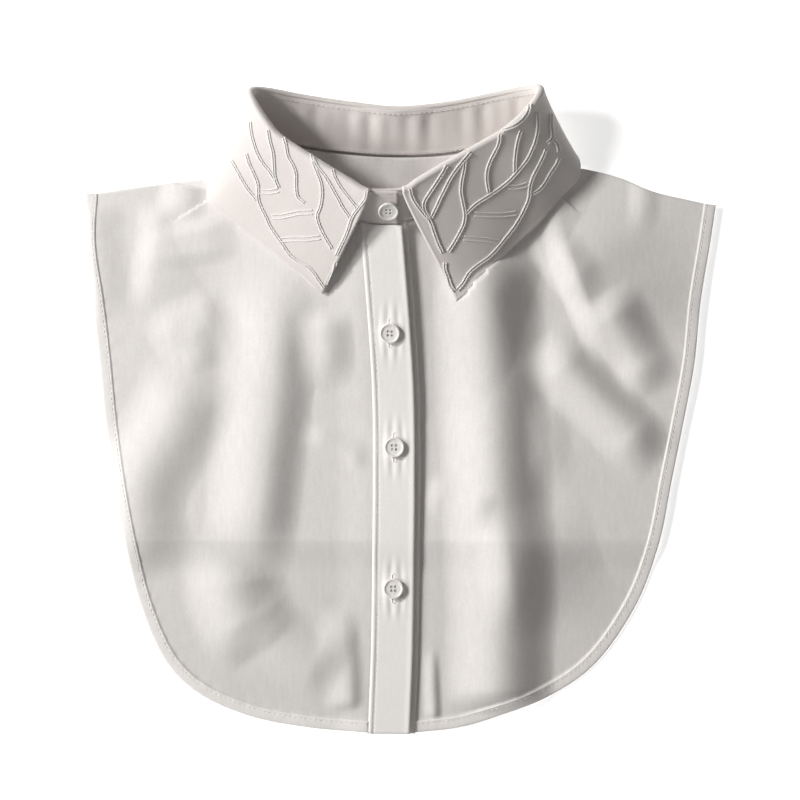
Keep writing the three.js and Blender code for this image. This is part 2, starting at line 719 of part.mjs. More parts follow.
function addPiece(name, geometry, material) {
  const mesh = new THREE.Mesh(geometry, material);
  mesh.name = name;
  lying.add(mesh);
  return mesh;
}

sides.forEach((side) => {
  addPiece(`front_${side.name}_panel`, frontPanel(side), bibMaterial);
  addPiece(`hem_${side.name}`, frontHem(side), bandMaterial);
});
addPiece('back_panel', backPanel(), bibMaterial);
addPiece('hem_back', backHem(), bandMaterial);
addPiece('under_placket', centreBand(sides[1], underRight, underLeft - gap, 0, 0), bandMaterial);
addPiece('placket', centreBand(sides[0], placketRight + gap, placketLeft, step, placketRise), bandMaterial);
addPiece('collar_stand', stand(), collarMaterial);
addPiece('collar_fall', fall(), collarMaterial);

// Buttons sit on the placket, square to it, and one on the stand's upper end.
function addButton(name, foot, out, cloth) {
  const button = addPiece(name, buttonGeometry(), buttonMaterial);
  button.quaternion.setFromUnitVectors(new THREE.Vector3(0, 0, 1), out);
  button.position.copy(foot).addScaledVector(out, cloth / 2 + gap);
}

placketButtons.forEach((along, i) => {
  const y = frontSeam - along * frontLength;
  const slope = (bandHeight(y + buttonRadius) - bandHeight(y - buttonRadius)) / (2 * buttonRadius);
  const out = new THREE.Vector3(-placketRise / placketWidth, -slope, 1).normalize();
  const foot = new THREE.Vector3(swingAt(y), y, bandHeight(y) + step + placketRise / 2);
  addButton(`button_${i + 1}`, foot, out, placketCloth);
});

const neckAt = placeAcross(standButton.across * neckHalfWidth, place.rightEnd, place.rightPoint);
const neckFoot = standPoint(neckAt, standButton.height * standHeight);
addButton('button_stand', neckFoot, outwardAt(neckAt), standCloth);

// The origin is at the bottom centre of everything.
lying.updateMatrixWorld(true);
const box = new THREE.Box3().setFromObject(lying, true);
const centre = box.getCenter(new THREE.Vector3());
lying.position.set(-centre.x, -centre.y, -box.min.z);

export default group;
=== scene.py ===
# The looks of a detachable shirt collar with bib: cloth, cord embroidery, stitches and buttons.
# Lengths are in millimetres until a mesh is made, and start from the middle of the neck.
import math

import bpy
import numpy as np
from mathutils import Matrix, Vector
from mathutils.bvhtree import BVHTree


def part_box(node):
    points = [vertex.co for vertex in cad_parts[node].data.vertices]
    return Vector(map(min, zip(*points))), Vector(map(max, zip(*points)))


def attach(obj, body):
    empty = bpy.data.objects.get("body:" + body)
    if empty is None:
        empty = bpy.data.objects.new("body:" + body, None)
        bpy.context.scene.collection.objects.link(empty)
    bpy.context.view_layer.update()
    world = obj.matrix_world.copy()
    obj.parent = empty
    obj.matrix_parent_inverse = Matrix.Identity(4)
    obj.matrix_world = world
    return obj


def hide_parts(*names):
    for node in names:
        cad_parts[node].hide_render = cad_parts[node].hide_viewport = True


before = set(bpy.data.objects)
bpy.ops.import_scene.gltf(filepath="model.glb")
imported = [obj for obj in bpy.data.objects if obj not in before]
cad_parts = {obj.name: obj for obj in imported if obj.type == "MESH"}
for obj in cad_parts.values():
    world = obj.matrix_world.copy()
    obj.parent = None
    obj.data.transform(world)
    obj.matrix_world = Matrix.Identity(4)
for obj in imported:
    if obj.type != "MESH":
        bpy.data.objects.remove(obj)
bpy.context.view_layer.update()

MM = 0.001

# Sizes of the bib and the collar
BIB_HALF_WIDTH = 177.5
FRONT_LENGTH = 285.0
BACK_LENGTH = 216.0
HEM_WIDTH = 6.5
PLACKET_WIDTH = 22.5
PLACKET_RISE = 2.6
UNDER_SHOW = 2.2
NECK_HALF_WIDTH = 78.5
STAND_HEIGHT = 30.5
LEAF_REACH = 64.0
ROLL_RADIUS = 1.5

# Thicknesses, relief and clearances
FRONT_CLOTH = 1.0
BACK_CLOTH = 1.0
HEM_CLOTH = 1.6
PLACKET_CLOTH = 1.4
STAND_CLOTH = 1.6
LEAF_CLOTH = 1.5
FOLD_HEIGHT = 10.0
GAP = 0.3
SEAM_GAP = 0.7
BACK_INSET = 2.0
LEAF_BOW = 5.0
LEAF_GAP = 1.1
STEP = PLACKET_CLOTH + GAP
LEAF_BED = LEAF_CLOTH + GAP

# Buttons
BUTTON_RADIUS = 5.75
BUTTON_THICKNESS = 2.4
BUTTON_HOLE = 1.3
BUTTON_HOLE_SPREAD = 1.5
PLACKET_BUTTONS = (0.214, 0.438, 0.715)
STAND_BUTTON_HEIGHT = 0.4
STAND_BUTTON_ACROSS = -0.03

# The collar ring, from its right front end round the rear of the neck to its left front end.
RING_COLUMNS = "across along lift over turn rise stand heading reach bed flat ease".split()
RING_ROWS = (
    (0.038, -0.496, 0.636, 1, 0, 44, 0.85, -25, 0.99, 1, 0.3, 0.39),
    (-0.157, -0.489, 0.649, 1, 0, 43, 0.85, -24.7, 0.99, 1, 0.3, 0.39),
    (-0.321, -0.457, 0.63, 0.3, 5, 40, 0.92, -29.6, 0.93, 1, 0.3, 0.38),
    (-0.578, -0.357, 0.626, 0, 12, 35, 0.97, -36.8, 0.877, 1, 0.3, 0.33),
    (-0.863, -0.207, 0.584, 0, 17, 31, 1, -37.1, 0.851, 1, 0.3, 0.24),
    (-0.957, -0.094, 0.557, 0, 18, 34, 1, -39.4, 0.87, 1, 0.3, 0.19),
    (-1.028, 0.04, 0.495, 0, 17, 38, 1, -33.3, 0.822, 1.4, 0.35, 0.14),
    (-1.043, 0.159, 0.331, 0, 13, 45, 1, -26.5, 0.675, 0.6, 0.4, 0.1),
    (-0.934, 0.139, 0.18, 0, 8, 38, 1, -15.4, 0.75, -0.2, 0.75, 0.08),
    (-0.69, 0.063, 0.16, 0, 4, 26, 1, -8.6, 0.73, 0, 0.8, 0.08),
    (-0.328, 0.007, 0.15, 0, 1, 25, 1, -2.8, 0.686, 0, 0.8, 0.08),
    (0.021, -0.014, 0.15, 0, 0, 31, 1, 0, 0.66, 0, 0.8, 0.08),
    (0.371, 0, 0.15, 0, -1, 25, 1, 2.9, 0.68, 0, 0.8, 0.08),
    (0.734, 0.07, 0.16, 0, -4, 26, 1, 10.1, 0.72, 0, 0.8, 0.08),
    (0.976, 0.147, 0.18, 0, -8, 38, 1, 19, 0.73, -0.2, 0.75, 0.08),
    (1.084, 0.174, 0.331, 0, -14, 45, 1, 31.5, 0.66, 0.6, 0.25, 0.1),
    (1.019, 0.007, 0.511, 0, -19, 38, 1, 41.5, 0.75, 1.4, 0.25, 0.14),
    (0.872, -0.14, 0.58, 0, -18, 34, 1, 39.3, 0.784, 1, 0.3, 0.165),
    (0.699, -0.25, 0.61, 0, -15, 31, 1, 34, 0.877, 1, 0.4, 0.205),
    (0.421, -0.371, 0.626, 0, -10, 35, 0.97, 34.5, 0.951, 1, 0.3, 0.33),
    (0.193, -0.457, 0.63, 0, -4, 40, 0.92, 32.4, 1.008, 1, 0.3, 0.38),
    (0.064, -0.489, 0.643, 0, 0, 43, 0.85, 25.7, 1.09, 1, 0.3, 0.39),
    (-0.17, -0.496, 0.636, 0, 0, 44, 0.85, 25, 1.09, 1, 0.3, 0.39),
)
RING = dict(zip(RING_COLUMNS, np.array(RING_ROWS, float).T))
RIGHT_END, RIGHT_POINT, RIGHT_NECK = 0, 1, 6
LEFT_NECK, LEFT_POINT, LEFT_END = 16, 21, 22

# The outer edges of the fronts: down the bib, and out on the right and the left.
OUTLINE = np.array((
    (-0.05, 0.966, 1.017),
    (0.035, 0.972, 1),
    (0.153, 0.946, 0.969),
    (0.271, 0.924, 0.95),
    (0.389, 0.905, 0.915),
    (0.507, 0.877, 0.877),
    (0.625, 0.842, 0.839),
    (0.743, 0.798, 0.77),
    (0.861, 0.713, 0.64),
    (0.92, 0.615, 0.511),
    (0.965, 0.454, 0.334),
    (0.988, 0.265, 0.208),
    (0.998, 0.063, 0.076),
))

# How far the placket swings to the wearer's left, in shares of its width, from neck to hem.
PLACKET_SWING = (-0.27, -0.1, 0.03, 0.05, 0.03, 0, -0.08)

# The long folds: start and end of the crest (across, along), width towards the placket and away
# from it, height, and the shares of the length over which it rises and dies away.
FOLDS = {
    "right": (
        (0.366, 0.05, 0.347, 0.8, 0.1, 0.2, 0.75, 0.25, 0.3),
        (0.565, 0.2, 0.8, 0.6, 0.12, 0.17, 0.35, 0.3, 0.3),
        (0.186, 0.74, 0.101, 1, 0.045, 0.08, 0.28, 0.5, 0.1),
        (0.77, -0.07, 0.738, 0.2, 0.06, 0.08, 0.22, 0.4, 0.5),
    ),
    "left": (
        (0.325, 0.01, 0.334, 1, 0.22, 0.13, 1, 0.2, 0.12),
        (0.486, 0.06, 0.864, 0.4, 0.09, 0.17, 0.45, 0.3, 0.2),
        (0.49, 0.27, 0.807, 0.6, 0.16, 0.09, 0.35, 0.3, 0.3),
        (0.139, 0.72, 0.126, 1, 0.04, 0.05, 0.25, 0.5, 0.1),
    ),
}

# The sides of the bib. right and left are the wearer's.
SIDES = {
    "right": {
        "sign": -1,
        "edge": -PLACKET_WIDTH / 2,
        "neck": RIGHT_NECK,
        "back_neck": RIGHT_NECK + 0.5,
        "end": RIGHT_END,
        "outline": OUTLINE[:, 1],
        "corner": -0.061,
        "shoulder": ((0.77, -0.075), (0.574, -0.09), (0.511, -0.1)),
        "folds": FOLDS["right"],
        "step": STEP,
    },
    "left": {
        "sign": 1,
        "edge": PLACKET_WIDTH / 2 + UNDER_SHOW,
        "neck": LEFT_NECK,
        "back_neck": LEFT_NECK - 0.5,
        "end": LEFT_END,
        "outline": OUTLINE[:, 2],
        "corner": -0.037,
        "shoulder": ((0.808, -0.066), (0.719, -0.09), (0.596, -0.108), (0.524, -0.108)),
        "folds": FOLDS["left"],
        "step": 0.0,
    },
}

# The photograph's frame: its width in pixels, a pixel's size, and the pixel over the origin.
PHOTO_PIXELS = 800
PIXEL = 0.56
ORIGIN_PIXEL = (400.5, 410.75)
CAMERA_HEIGHT = 2000.0


# Numbers and tables
def mix(a, b, t):
    return a + (b - a) * t


def smooth(start, stop, value):
    t = np.clip((value - start) / (stop - start), 0, 1)
    return t * t * (3 - 2 * t)


def hump(value, middle, width):
    return np.exp(-(((value - middle) / width) ** 2))


def unit(vectors):
    return vectors / np.linalg.norm(vectors, axis=-1, keepdims=True)


def hermite(t, first, leaving, last, arriving):
    """A curve from first to last, with the slopes that it has on leaving and on arriving."""
    t2, t3 = t ** 2, t ** 3
    return ((2 * t3 - 3 * t2 + 1) * first + (t3 - 2 * t2 + t) * leaving
            + (3 * t2 - 2 * t3) * last + (t3 - t2) * arriving)


def run_lengths(points):
    """How far along a line each of its points lies."""
    return np.concatenate([[0], np.cumsum(np.linalg.norm(np.diff(points, axis=0), axis=1))])


def at_lengths(along, lengths, points):
    """Places at distances along a line."""
    return np.stack([np.interp(along, lengths, column) for column in points.T], -1)


def column_at(values, at):
    """A column's value between its rows, on a smooth curve through them."""
    values = np.asarray(values, float)
    last = len(values) - 1
    at = np.asarray(at, float)
    i = np.clip(np.floor(at).astype(int), 0, last - 1)
    t = at - i
    a, b = values[np.maximum(i - 1, 0)], values[i]
    c, d = values[i + 1], values[np.minimum(i + 2, last)]
    slope_start = np.where(i == 0, c - b, (c - a) / 2)
    slope_end = np.where(i == last - 1, c - b, (d - b) / 2)
    return hermite(t, b, slope_start, c, slope_end)


def ring(column, at):
    return column_at(RING[column], at)


# The collar ring
def lean_at(at):
    turn, rise = np.radians(ring("turn", at)), np.radians(ring("rise", at))
    return np.stack([np.sin(turn) * np.cos(rise), np.cos(turn) * np.cos(rise), np.sin(rise)], -1)


def seam_at(at):
    lean = lean_at(at)
    over = ring("over", at) * (STAND_CLOTH + GAP)
    return np.stack([
        ring("across", at) * NECK_HALF_WIDTH,
        ring("along", at) * NECK_HALF_WIDTH - over * lean[..., 2],
        ring("lift", at) * STAND_HEIGHT + over * lean[..., 1],
    ], -1)


def stand_point(at, height):
    return seam_at(at) + lean_at(at) * np.asarray(height)[..., None]


def stand_height_at(at):
    return ring("stand", at) * STAND_HEIGHT


def outward_at(at):
    """The way out of the ring, square to the stand."""
    near = 0.05
    middle = stand_height_at(at) / 2
    along = stand_point(at + near, middle) - stand_point(at - near, middle)
    return unit(np.cross(lean_at(at), along))


def place_across(across, start, stop):
    """The place on the ring where the seam is this far across, between two places."""
    places = np.linspace(start, stop, 2001)
    x = seam_at(places)[:, 0]
    order = np.argsort(x)
    return np.interp(across, x[order], places[order])


def seam_line(start, stop, count):
    at = np.linspace(start, stop, count + 1)
    points = seam_at(at)
    return {"plan": points[:, :2], "z": points[:, 2], "ease": ring("ease", at) * FRONT_LENGTH}


def nearest_run(curve, x, y, open_ends=False):
    """The nearest run of a curve to each point, how far along it that is, and the way out from
    there. With open ends the first and last runs go on past the curve."""
    points = np.stack([np.ravel(x), np.ravel(y)], 1)
    runs = np.diff(curve, axis=0)
    away = points[:, None] - curve[:-1]
    place = np.arange(len(runs))
    low = np.where(open_ends & (place == 0), -np.inf, 0)
    high = np.where(open_ends & (place == len(runs) - 1), np.inf, 1)
    t = np.clip((away * runs).sum(2) / (runs ** 2).sum(1), low, high)
    out = away - t[..., None] * runs
    i = np.linalg.norm(out, axis=2).argmin(1)
    row = np.arange(len(points))
    return i, t[row, i], out[row, i]


def nearest_on(line, x, y):
    """The nearest place on a seam line in plan: its distance, and the seam's lift and ease."""
    i, t, out = nearest_run(line["plan"], x, y)
    distance = np.linalg.norm(out, axis=1)
    lift, ease = (mix(line[key][i], line[key][i + 1], t) for key in ("lift", "ease"))
    return tuple(values.reshape(np.shape(x)) for values in (distance, lift, ease))


def slope_share(distance, ease):
    return np.maximum(0, 1 - distance / ease) ** 1.3


def swing_at(y):
    along = np.clip((FRONT_SEAM - y) / FRONT_LENGTH, 0, 1)
    return column_at(PLACKET_SWING, along * (len(PLACKET_SWING) - 1)) * PLACKET_WIDTH


# Heights of the cloth
FRONT_SEAM = float(seam_at(LEFT_END)[1])
HEM_LINE = FRONT_SEAM - FRONT_LENGTH
BACK_EDGE = -BACK_LENGTH
LEAF_EDGE = LEAF_REACH * 0.3
LEAF_END = LEAF_REACH * 0.56
COME_DOWN = 18.0
SEAM_STEPS = 160


def back_flat(distance):
    return BACK_CLOTH / 2 + LEAF_BED * (1 - smooth(LEAF_EDGE, LEAF_END, distance))


REAR_SEAM = seam_line(RIGHT_NECK + 0.5, LEFT_NECK - 0.5, SEAM_STEPS)
REAR_SEAM["lift"] = REAR_SEAM["z"] - back_flat(0)


def back_height(x, y):
    distance, lift, ease = nearest_on(REAR_SEAM, x, y)
    return back_flat(distance) + lift * slope_share(distance, ease)


def bed_height(x, y):
    """What a front lies on: the back and its hem, or the surface below them."""
    on_back = back_height(x, y) - BACK_CLOTH / 2 + HEM_CLOTH + GAP
    return mix(0, on_back, smooth(BACK_EDGE - COME_DOWN, BACK_EDGE - GAP, y)) + FRONT_CLOTH / 2


def side_step(side, x, y):
    right = SIDES["right"]["edge"]
    return side["step"] * smooth(right - PLACKET_WIDTH, right, x - swing_at(y))


def bib_point(side, across, along):
    return np.array([side["sign"] * across * BIB_HALF_WIDTH, FRONT_SEAM - along * FRONT_LENGTH])


def fold_rise(side, x, y):
    rise = 0
    for across, along, to_across, to_along, near, far, height, start, end in side["folds"]:
        first, last = bib_point(side, across, along), bib_point(side, to_across, to_along)
        run = (last - first) * (side["sign"], 1)
        dx, dy = side["sign"] * (x - first[0]), y - first[1]
        length = np.hypot(*run)
        t = (dx * run[0] + dy * run[1]) / length ** 2
        away = (-run[1] * dx + run[0] * dy) / length
        width = np.where(away > 0, far, near) * BIB_HALF_WIDTH
        ends = smooth(0, start, t) * smooth(0, end, 1 - t)
        crest = 0.5 + 0.5 * np.cos(np.pi * np.clip(away / width, -1, 1))
        rise = rise + height * FOLD_HEIGHT * ends * crest
    return rise


for each_side in SIDES.values():
    line = seam_line(each_side["end"], each_side["neck"], SEAM_STEPS)
    plan_x, plan_y = line["plan"].T
    line["lift"] = line["z"] - bed_height(plan_x, plan_y) - side_step(each_side, plan_x, plan_y)
    each_side["seam"] = line
    across = each_side["edge"] + swing_at(FRONT_SEAM)
    each_side["edge_place"] = place_across(across, each_side["end"], each_side["neck"])


def front_base(side, x, y):
    """A front's height without its folds."""
    distance, lift, ease = nearest_on(side["seam"], x, y)
    return bed_height(x, y) + side_step(side, x, y) + lift * slope_share(distance, ease)


SEAM_FREE = 25.0
EDGE_FREE = 12.0


def free_share(side, x, y):
    """How free a front is to rise: not at all along its seam and along its edge at the placket."""
    from_seam, from_edge = nearest_on(side["seam"], x, y)[0], np.abs(x - swing_at(y) - side["edge"])
    return smooth(0, SEAM_FREE, from_seam) * smooth(0, EDGE_FREE, from_edge)


def front_height(side, x, y):
    """The height of the middle of a front's cloth, with its long folds."""
    return front_base(side, x, y) + fold_rise(side, x, y) * free_share(side, x, y)


# Plan curves and patches
def plan_curve(points):
    """A smooth plan curve through points, as a function of the share of its length."""
    points = np.asarray(points, float)
    ends = (2 * points[0] - points[1], 2 * points[-1] - points[-2])
    knots = np.vstack([ends[0], points, ends[1]])
    samples = []
    for p0, p1, p2, p3 in zip(knots, knots[1:], knots[2:], knots[3:]):
        d0, d1, d2 = (max(1e-4, np.linalg.norm(q - p)) ** 0.5 for p, q in ((p0, p1), (p1, p2), (p2, p3)))
        start = ((p1 - p0) / d0 - (p2 - p0) / (d0 + d1) + (p2 - p1) / d1) * d1
        end = ((p2 - p1) / d1 - (p3 - p1) / (d1 + d2) + (p3 - p2) / d2) * d1
        t = np.linspace(0, 1, 40, endpoint=False)[:, None]
        samples.append(hermite(t, p1, start, p2, end))
    samples = np.vstack([*samples, points[-1:]])
    lengths = run_lengths(samples)
    return lambda share: at_lengths(np.asarray(share) * lengths[-1], lengths, samples)


def patch(top, bottom, start, end, u, v):
    """A four-sided patch in plan: top and bottom run with u, start and end run with v."""
    u, v = u[:, None, None], v[None, :, None]
    corners = ((1 - u) * (1 - v) * top[0] + u * (1 - v) * top[-1]
               + (1 - u) * v * bottom[0] + u * v * bottom[-1])
    return (top[:, None] * (1 - v) + bottom[:, None] * v
            + start[None] * (1 - u) + end[None] * u - corners)


def seam_plan(at, away):
    """The seam in plan, moved out of the ring by a distance, or into it by a negative one."""
    near = 0.02
    along = seam_at(at + near) - seam_at(at - near)
    out = unit(np.stack([-along[..., 1], along[..., 0]], -1))
    return seam_at(at)[..., :2] + out * away


def edge_curve(side, inset):
    """A side's outer edge, moved inwards, from the shoulder corner to the bottom middle."""
    points = np.stack([side["sign"] * side["outline"] * BIB_HALF_WIDTH,
                       FRONT_SEAM - OUTLINE[:, 0] * FRONT_LENGTH], 1)
    points[0, 1] = FRONT_SEAM - side["corner"] * FRONT_LENGTH
    points[-1, 0] = side["edge"] + side["sign"] * GAP + swing_at(HEM_LINE)
    along = np.vstack([points[1:], points[-1:]]) - np.vstack([points[:1], points[:-1]])
    inward = unit(np.stack([-along[:, 1], along[:, 0]], 1))
    inner = points - side["sign"] * inset * inward
    inner[-1, 0] = points[-1, 0]
    return plan_curve(inner)


def shoulder_curve(side, neck, corner):
    between = [bib_point(side, *row) for row in side["shoulder"]]
    return plan_curve([neck, *between[::-1], corner])


def back_side(side, inset):
    """A side edge of the back, from the shoulder corner down to the back's lower edge."""
    edge = edge_curve(side, BACK_INSET + inset)
    shares = np.linspace(0, 0.7, 2001)
    stop = np.interp(-(BACK_EDGE + inset), -edge(shares)[:, 1], shares)
    return lambda t: edge(np.asarray(t) * stop)


# Meshes of cloth
rows_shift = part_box("placket")[0].y / MM - HEM_LINE
second_button = (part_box("button_2")[0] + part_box("button_2")[1]) / 2 / MM
SHIFT = np.array([
    second_button.x - swing_at(FRONT_SEAM - PLACKET_BUTTONS[1] * FRONT_LENGTH),
    rows_shift,
    0.0,
])


def make_object(name, points, faces, material, attributes=()):
    """A smooth shaded object from points in millimetres, with vectors kept at its points."""
    mesh = bpy.data.meshes.new(name)
    mesh.from_pydata(((np.asarray(points) + SHIFT) * MM).tolist(), [], faces)
    mesh.polygons.foreach_set("use_smooth", np.ones(len(faces), bool))
    for attribute_name, values in attributes:
        attribute = mesh.attributes.new(attribute_name, "FLOAT_VECTOR", "POINT")
        attribute.data.foreach_set("vector", np.asarray(values, np.float32).ravel())
    mesh.materials.append(material)
    made = bpy.data.objects.new(name, mesh)
    bpy.context.scene.collection.objects.link(made)
    return made


def facing_out(points, quads):
    """The four-sided faces of a closed mesh, turned so that they look out."""
    a, b, c, d = (points[quads[:, k]] for k in range(4))
    volume = np.einsum("ij,ij->i", a, np.cross(b, c) + np.cross(c, d)).sum()
    return quads if volume > 0 else quads[:, ::-1]


def grid_normals(middle):
    normal = np.cross(np.gradient(middle, axis=0), np.gradient(middle, axis=1))
    return unit(normal)


# How far the underside's weave pattern lies from the upper side's, so that they differ.
UNDERSIDE = 9


def closed_sheet(name, middle, thickness, material, roll=0.0, layers_and_painted_light=None, rolled=False):
    """A closed mesh of cloth round a grid of middle points, with a soft rim.
    roll thickens it just inside the rim, as a turned edge does. The layer values tell where the cloth is
    doubled: there the material paints it lighter, partly the doubled cloth's own whiteness and partly
    painted light, and single cloth darker, as painted shade. rolled cloth has its weave along the grid,
    and laid cloth along the bib."""
    columns, rows = middle.shape[:2]
    normal = grid_normals(middle)
    run_u = np.linalg.norm(np.diff(middle, axis=0), axis=2)
    run_v = np.linalg.norm(np.diff(middle, axis=1), axis=2)
    along_u = np.concatenate([np.zeros((1, rows)), np.cumsum(run_u, 0)])
    along_v = np.concatenate([np.zeros((columns, 1)), np.cumsum(run_v, 1)], 1)
    inside_u = np.minimum(along_u, along_u[-1:] - along_u)
    inside_v = np.minimum(along_v, along_v[:, -1:] - along_v)
    inside = np.minimum(inside_u, inside_v)
    half = thickness / 2 * (0.45 + 0.55 * smooth(0, 0.9, inside) + roll * hump(inside, 1.1, 0.6))
    weave = np.dstack([along_u, along_v, 0 * along_u]) if rolled else middle * (1, 1, 0)
    points = np.concatenate([
        (middle + normal * half[..., None]).reshape(-1, 3),
        (middle - normal * half[..., None]).reshape(-1, 3),
    ])
    index = np.arange(columns * rows).reshape(columns, rows)
    count = columns * rows
    upper = np.stack([index[:-1, :-1], index[1:, :-1], index[1:, 1:], index[:-1, 1:]], -1).reshape(-1, 4)
    rim = np.concatenate([index[:, 0], index[-1, 1:], index[-2::-1, -1], index[0, -2:0:-1]])
    after = np.roll(rim, -1)
    wall = np.stack([after, rim, count + rim, count + after], 1)
    faces = np.concatenate([upper, count + upper[:, ::-1], wall])
    values = np.concatenate([weave.reshape(-1, 3), weave.reshape(-1, 3) + (0, 0, UNDERSIDE)])
    if layers_and_painted_light is None:
        layers_and_painted_light = np.full((columns, rows), 0.5)
    full = np.repeat(np.tile(layers_and_painted_light.ravel(), 2)[:, None], 3, 1)
    faces = facing_out(points, faces).tolist()
    return make_object(name, points, faces, material, [("weave", values), ("layers_and_painted_light", full)])


def spaced(count, crowd):
    """Shares from 0 to 1, closer together towards both ends."""
    t = np.linspace(0, 1, count)
    return mix(t, t * t * (3 - 2 * t), crowd)


# Materials
def linked(tree, kind, **settings):
    node = tree.nodes.new(kind)
    for key, value in settings.items():
        setattr(node, key, value)
    return node


def principled(name, colour, roughness, sheen=0.0, coat=0.0, subsurface=0.0):
    material = bpy.data.materials.new(name)
    material.use_nodes = True
    shader = material.node_tree.nodes["Principled BSDF"]
    settings = {
        "Base Color": (*colour, 1),
        "Roughness": roughness,
        "Sheen Weight": sheen,
        "Sheen Roughness": 0.4,
        "Coat Weight": coat,
        "Subsurface Weight": subsurface,
        "Subsurface Radius": (0.003, 0.003, 0.003),
        "Specular IOR Level": 0.25,
    }
    for socket, value in settings.items():
        shader.inputs[socket].default_value = value
    return material, shader


def shaded(tree, factor, dark, light, start=0.0, stop=1.0):
    """A colour between dark and light by a factor."""
    ramp = linked(tree, "ShaderNodeValToRGB")
    for element, place, colour in zip(ramp.color_ramp.elements, (start, stop), (dark, light)):
        element.position = place
        element.color = (*colour, 1)
    tree.links.new(factor, ramp.inputs["Fac"])
    return ramp.outputs["Color"]


def noise_from(tree, source, stretch, detail):
    """Noise over the weave coordinates, in cells of the given sizes in millimetres."""
    mapping = linked(tree, "ShaderNodeMapping")
    mapping.inputs["Scale"].default_value = [1 / size for size in stretch]
    noise = linked(tree, "ShaderNodeTexNoise")
    noise.inputs["Scale"].default_value = 1
    noise.inputs["Detail"].default_value = detail
    tree.links.new(source, mapping.inputs["Vector"])
    tree.links.new(mapping.outputs["Vector"], noise.inputs["Vector"])
    return noise.outputs["Fac"]


def cloth_material(name, light, dark, crepe, relief):
    """Warm white crepe: a fine grain along the weave, faint streaks and a soft sheen. Its colour is scaled
    by the layer values: lighter where the cloth is doubled, partly its own whiteness and partly painted
    light, and darker where it is single, as painted shade.
    """
    material, shader = principled(name, light, 0.85, sheen=0.15)
    tree = material.node_tree
    weave = linked(tree, "ShaderNodeAttribute", attribute_name="weave").outputs["Vector"]
    grain = noise_from(tree, weave, (crepe, crepe * 2.4, crepe), 3)
    streak = noise_from(tree, weave, (crepe * 3, crepe * 14, 9), 2)
    add = linked(tree, "ShaderNodeMath", operation="ADD")
    half = linked(tree, "ShaderNodeMath", operation="MULTIPLY")
    half.inputs[1].default_value = 0.5
    bump = linked(tree, "ShaderNodeBump")
    bump.inputs["Strength"].default_value = 0.5
    bump.inputs["Distance"].default_value = relief * MM
    tree.links.new(grain, add.inputs[0])
    tree.links.new(streak, add.inputs[1])
    tree.links.new(add.outputs[0], half.inputs[0])
    colour = shaded(tree, half.outputs[0], dark, light, 0.35, 0.65)
    # Painted light and shade: the colour is scaled from 0.955 on single cloth, as painted shade, to 1.13 on
    # doubled cloth such as the hem, as painted light.
    layers_and_painted_light = linked(tree, "ShaderNodeAttribute", attribute_name="layers_and_painted_light").outputs["Fac"]
    painted_layer_light = linked(tree, "ShaderNodeMapRange")
    painted_layer_light.inputs["To Min"].default_value = 0.955
    painted_layer_light.inputs["To Max"].default_value = 1.13
    scaled = linked(tree, "ShaderNodeVectorMath", operation="SCALE")
    tree.links.new(layers_and_painted_light, painted_layer_light.inputs["Value"])
    tree.links.new(colour, scaled.inputs[0])
    tree.links.new(painted_layer_light.outputs["Result"], scaled.inputs["Scale"])
    tree.links.new(scaled.outputs["Vector"], shader.inputs["Base Color"])
    tree.links.new(grain, bump.inputs["Height"])
    tree.links.new(bump.outputs["Normal"], shader.inputs["Normal"])
    return material


bib_cloth = cloth_material("bib_crepe", (0.86, 0.84, 0.825), (0.79, 0.765, 0.745), 0.7, 0.12)
# The bands' crepe is the bib's crepe painted lighter: painted light on the placket, the under band and the
# back hem.
band_cloth = cloth_material("lit_band_crepe", (0.93, 0.91, 0.895), (0.88, 0.86, 0.84), 0.6, 0.1)
# The collar's cloth is the same white cloth toned darker and warmer than the bib's: painted shade.
collar_cloth = cloth_material("shaded_collar_poplin", (0.805, 0.765, 0.74), (0.765, 0.725, 0.70), 0.5, 0.06)


def patterned(name, kind, settings, dark, light, colour, roughness, **finish):
    """A plain material with a fine pattern of one texture node in its colour."""
    material, shader = principled(name, colour, roughness, **finish)
    tree = material.node_tree
    texture = linked(tree, kind)
    for socket, value in settings.items():
        texture.inputs[socket].default_value = value
    tree.links.new(linked(tree, "ShaderNodeTexCoord").outputs["Object"], texture.inputs["Vector"])
    tree.links.new(shaded(tree, texture.outputs["Fac"], dark, light), shader.inputs["Base Color"])
    return material


thread = patterned("white_thread", "ShaderNodeTexNoise", {"Scale": 3000}, (0.84, 0.82, 0.8),
                   (0.95, 0.935, 0.92), (0.92, 0.905, 0.89), 0.6, sheen=0.2)
resin = patterned("pale_resin", "ShaderNodeTexWave", {"Scale": 90, "Distortion": 9}, (0.86, 0.835, 0.8),
                  (0.93, 0.915, 0.89), (0.9, 0.88, 0.85), 0.28, coat=0.3, subsurface=0.15)


def surface_tree(obj):
    return BVHTree.FromPolygons([v.co[:] for v in obj.data.vertices],
                                [p.vertices[:] for p in obj.data.polygons])


def under_leaf(x, y, z):
    """Heights lowered where the collar's leaf lies over them, so that the cloth stays clear."""
    low_x, high_x = leaf_range(0)
    low_y, high_y = leaf_range(1)
    clear = z.copy()
    near = (x > low_x) & (x < high_x) & (y > low_y) & (y < high_y)
    for i, j in zip(*np.nonzero(near)):
        start = (np.array([x[i, j], y[i, j], -5]) + SHIFT) * MM
        hit = fall_tree.ray_cast(Vector(start), Vector((0, 0, 1)))[0]
        if hit is not None:
            clear[i, j] = min(z[i, j], max(FRONT_CLOTH / 2, hit.z / MM - FRONT_CLOTH))
    return clear


def leaf_range(axis):
    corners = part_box("collar_fall")
    return corners[0][axis] / MM - SHIFT[axis] - 5, corners[1][axis] / MM - SHIFT[axis] + 5


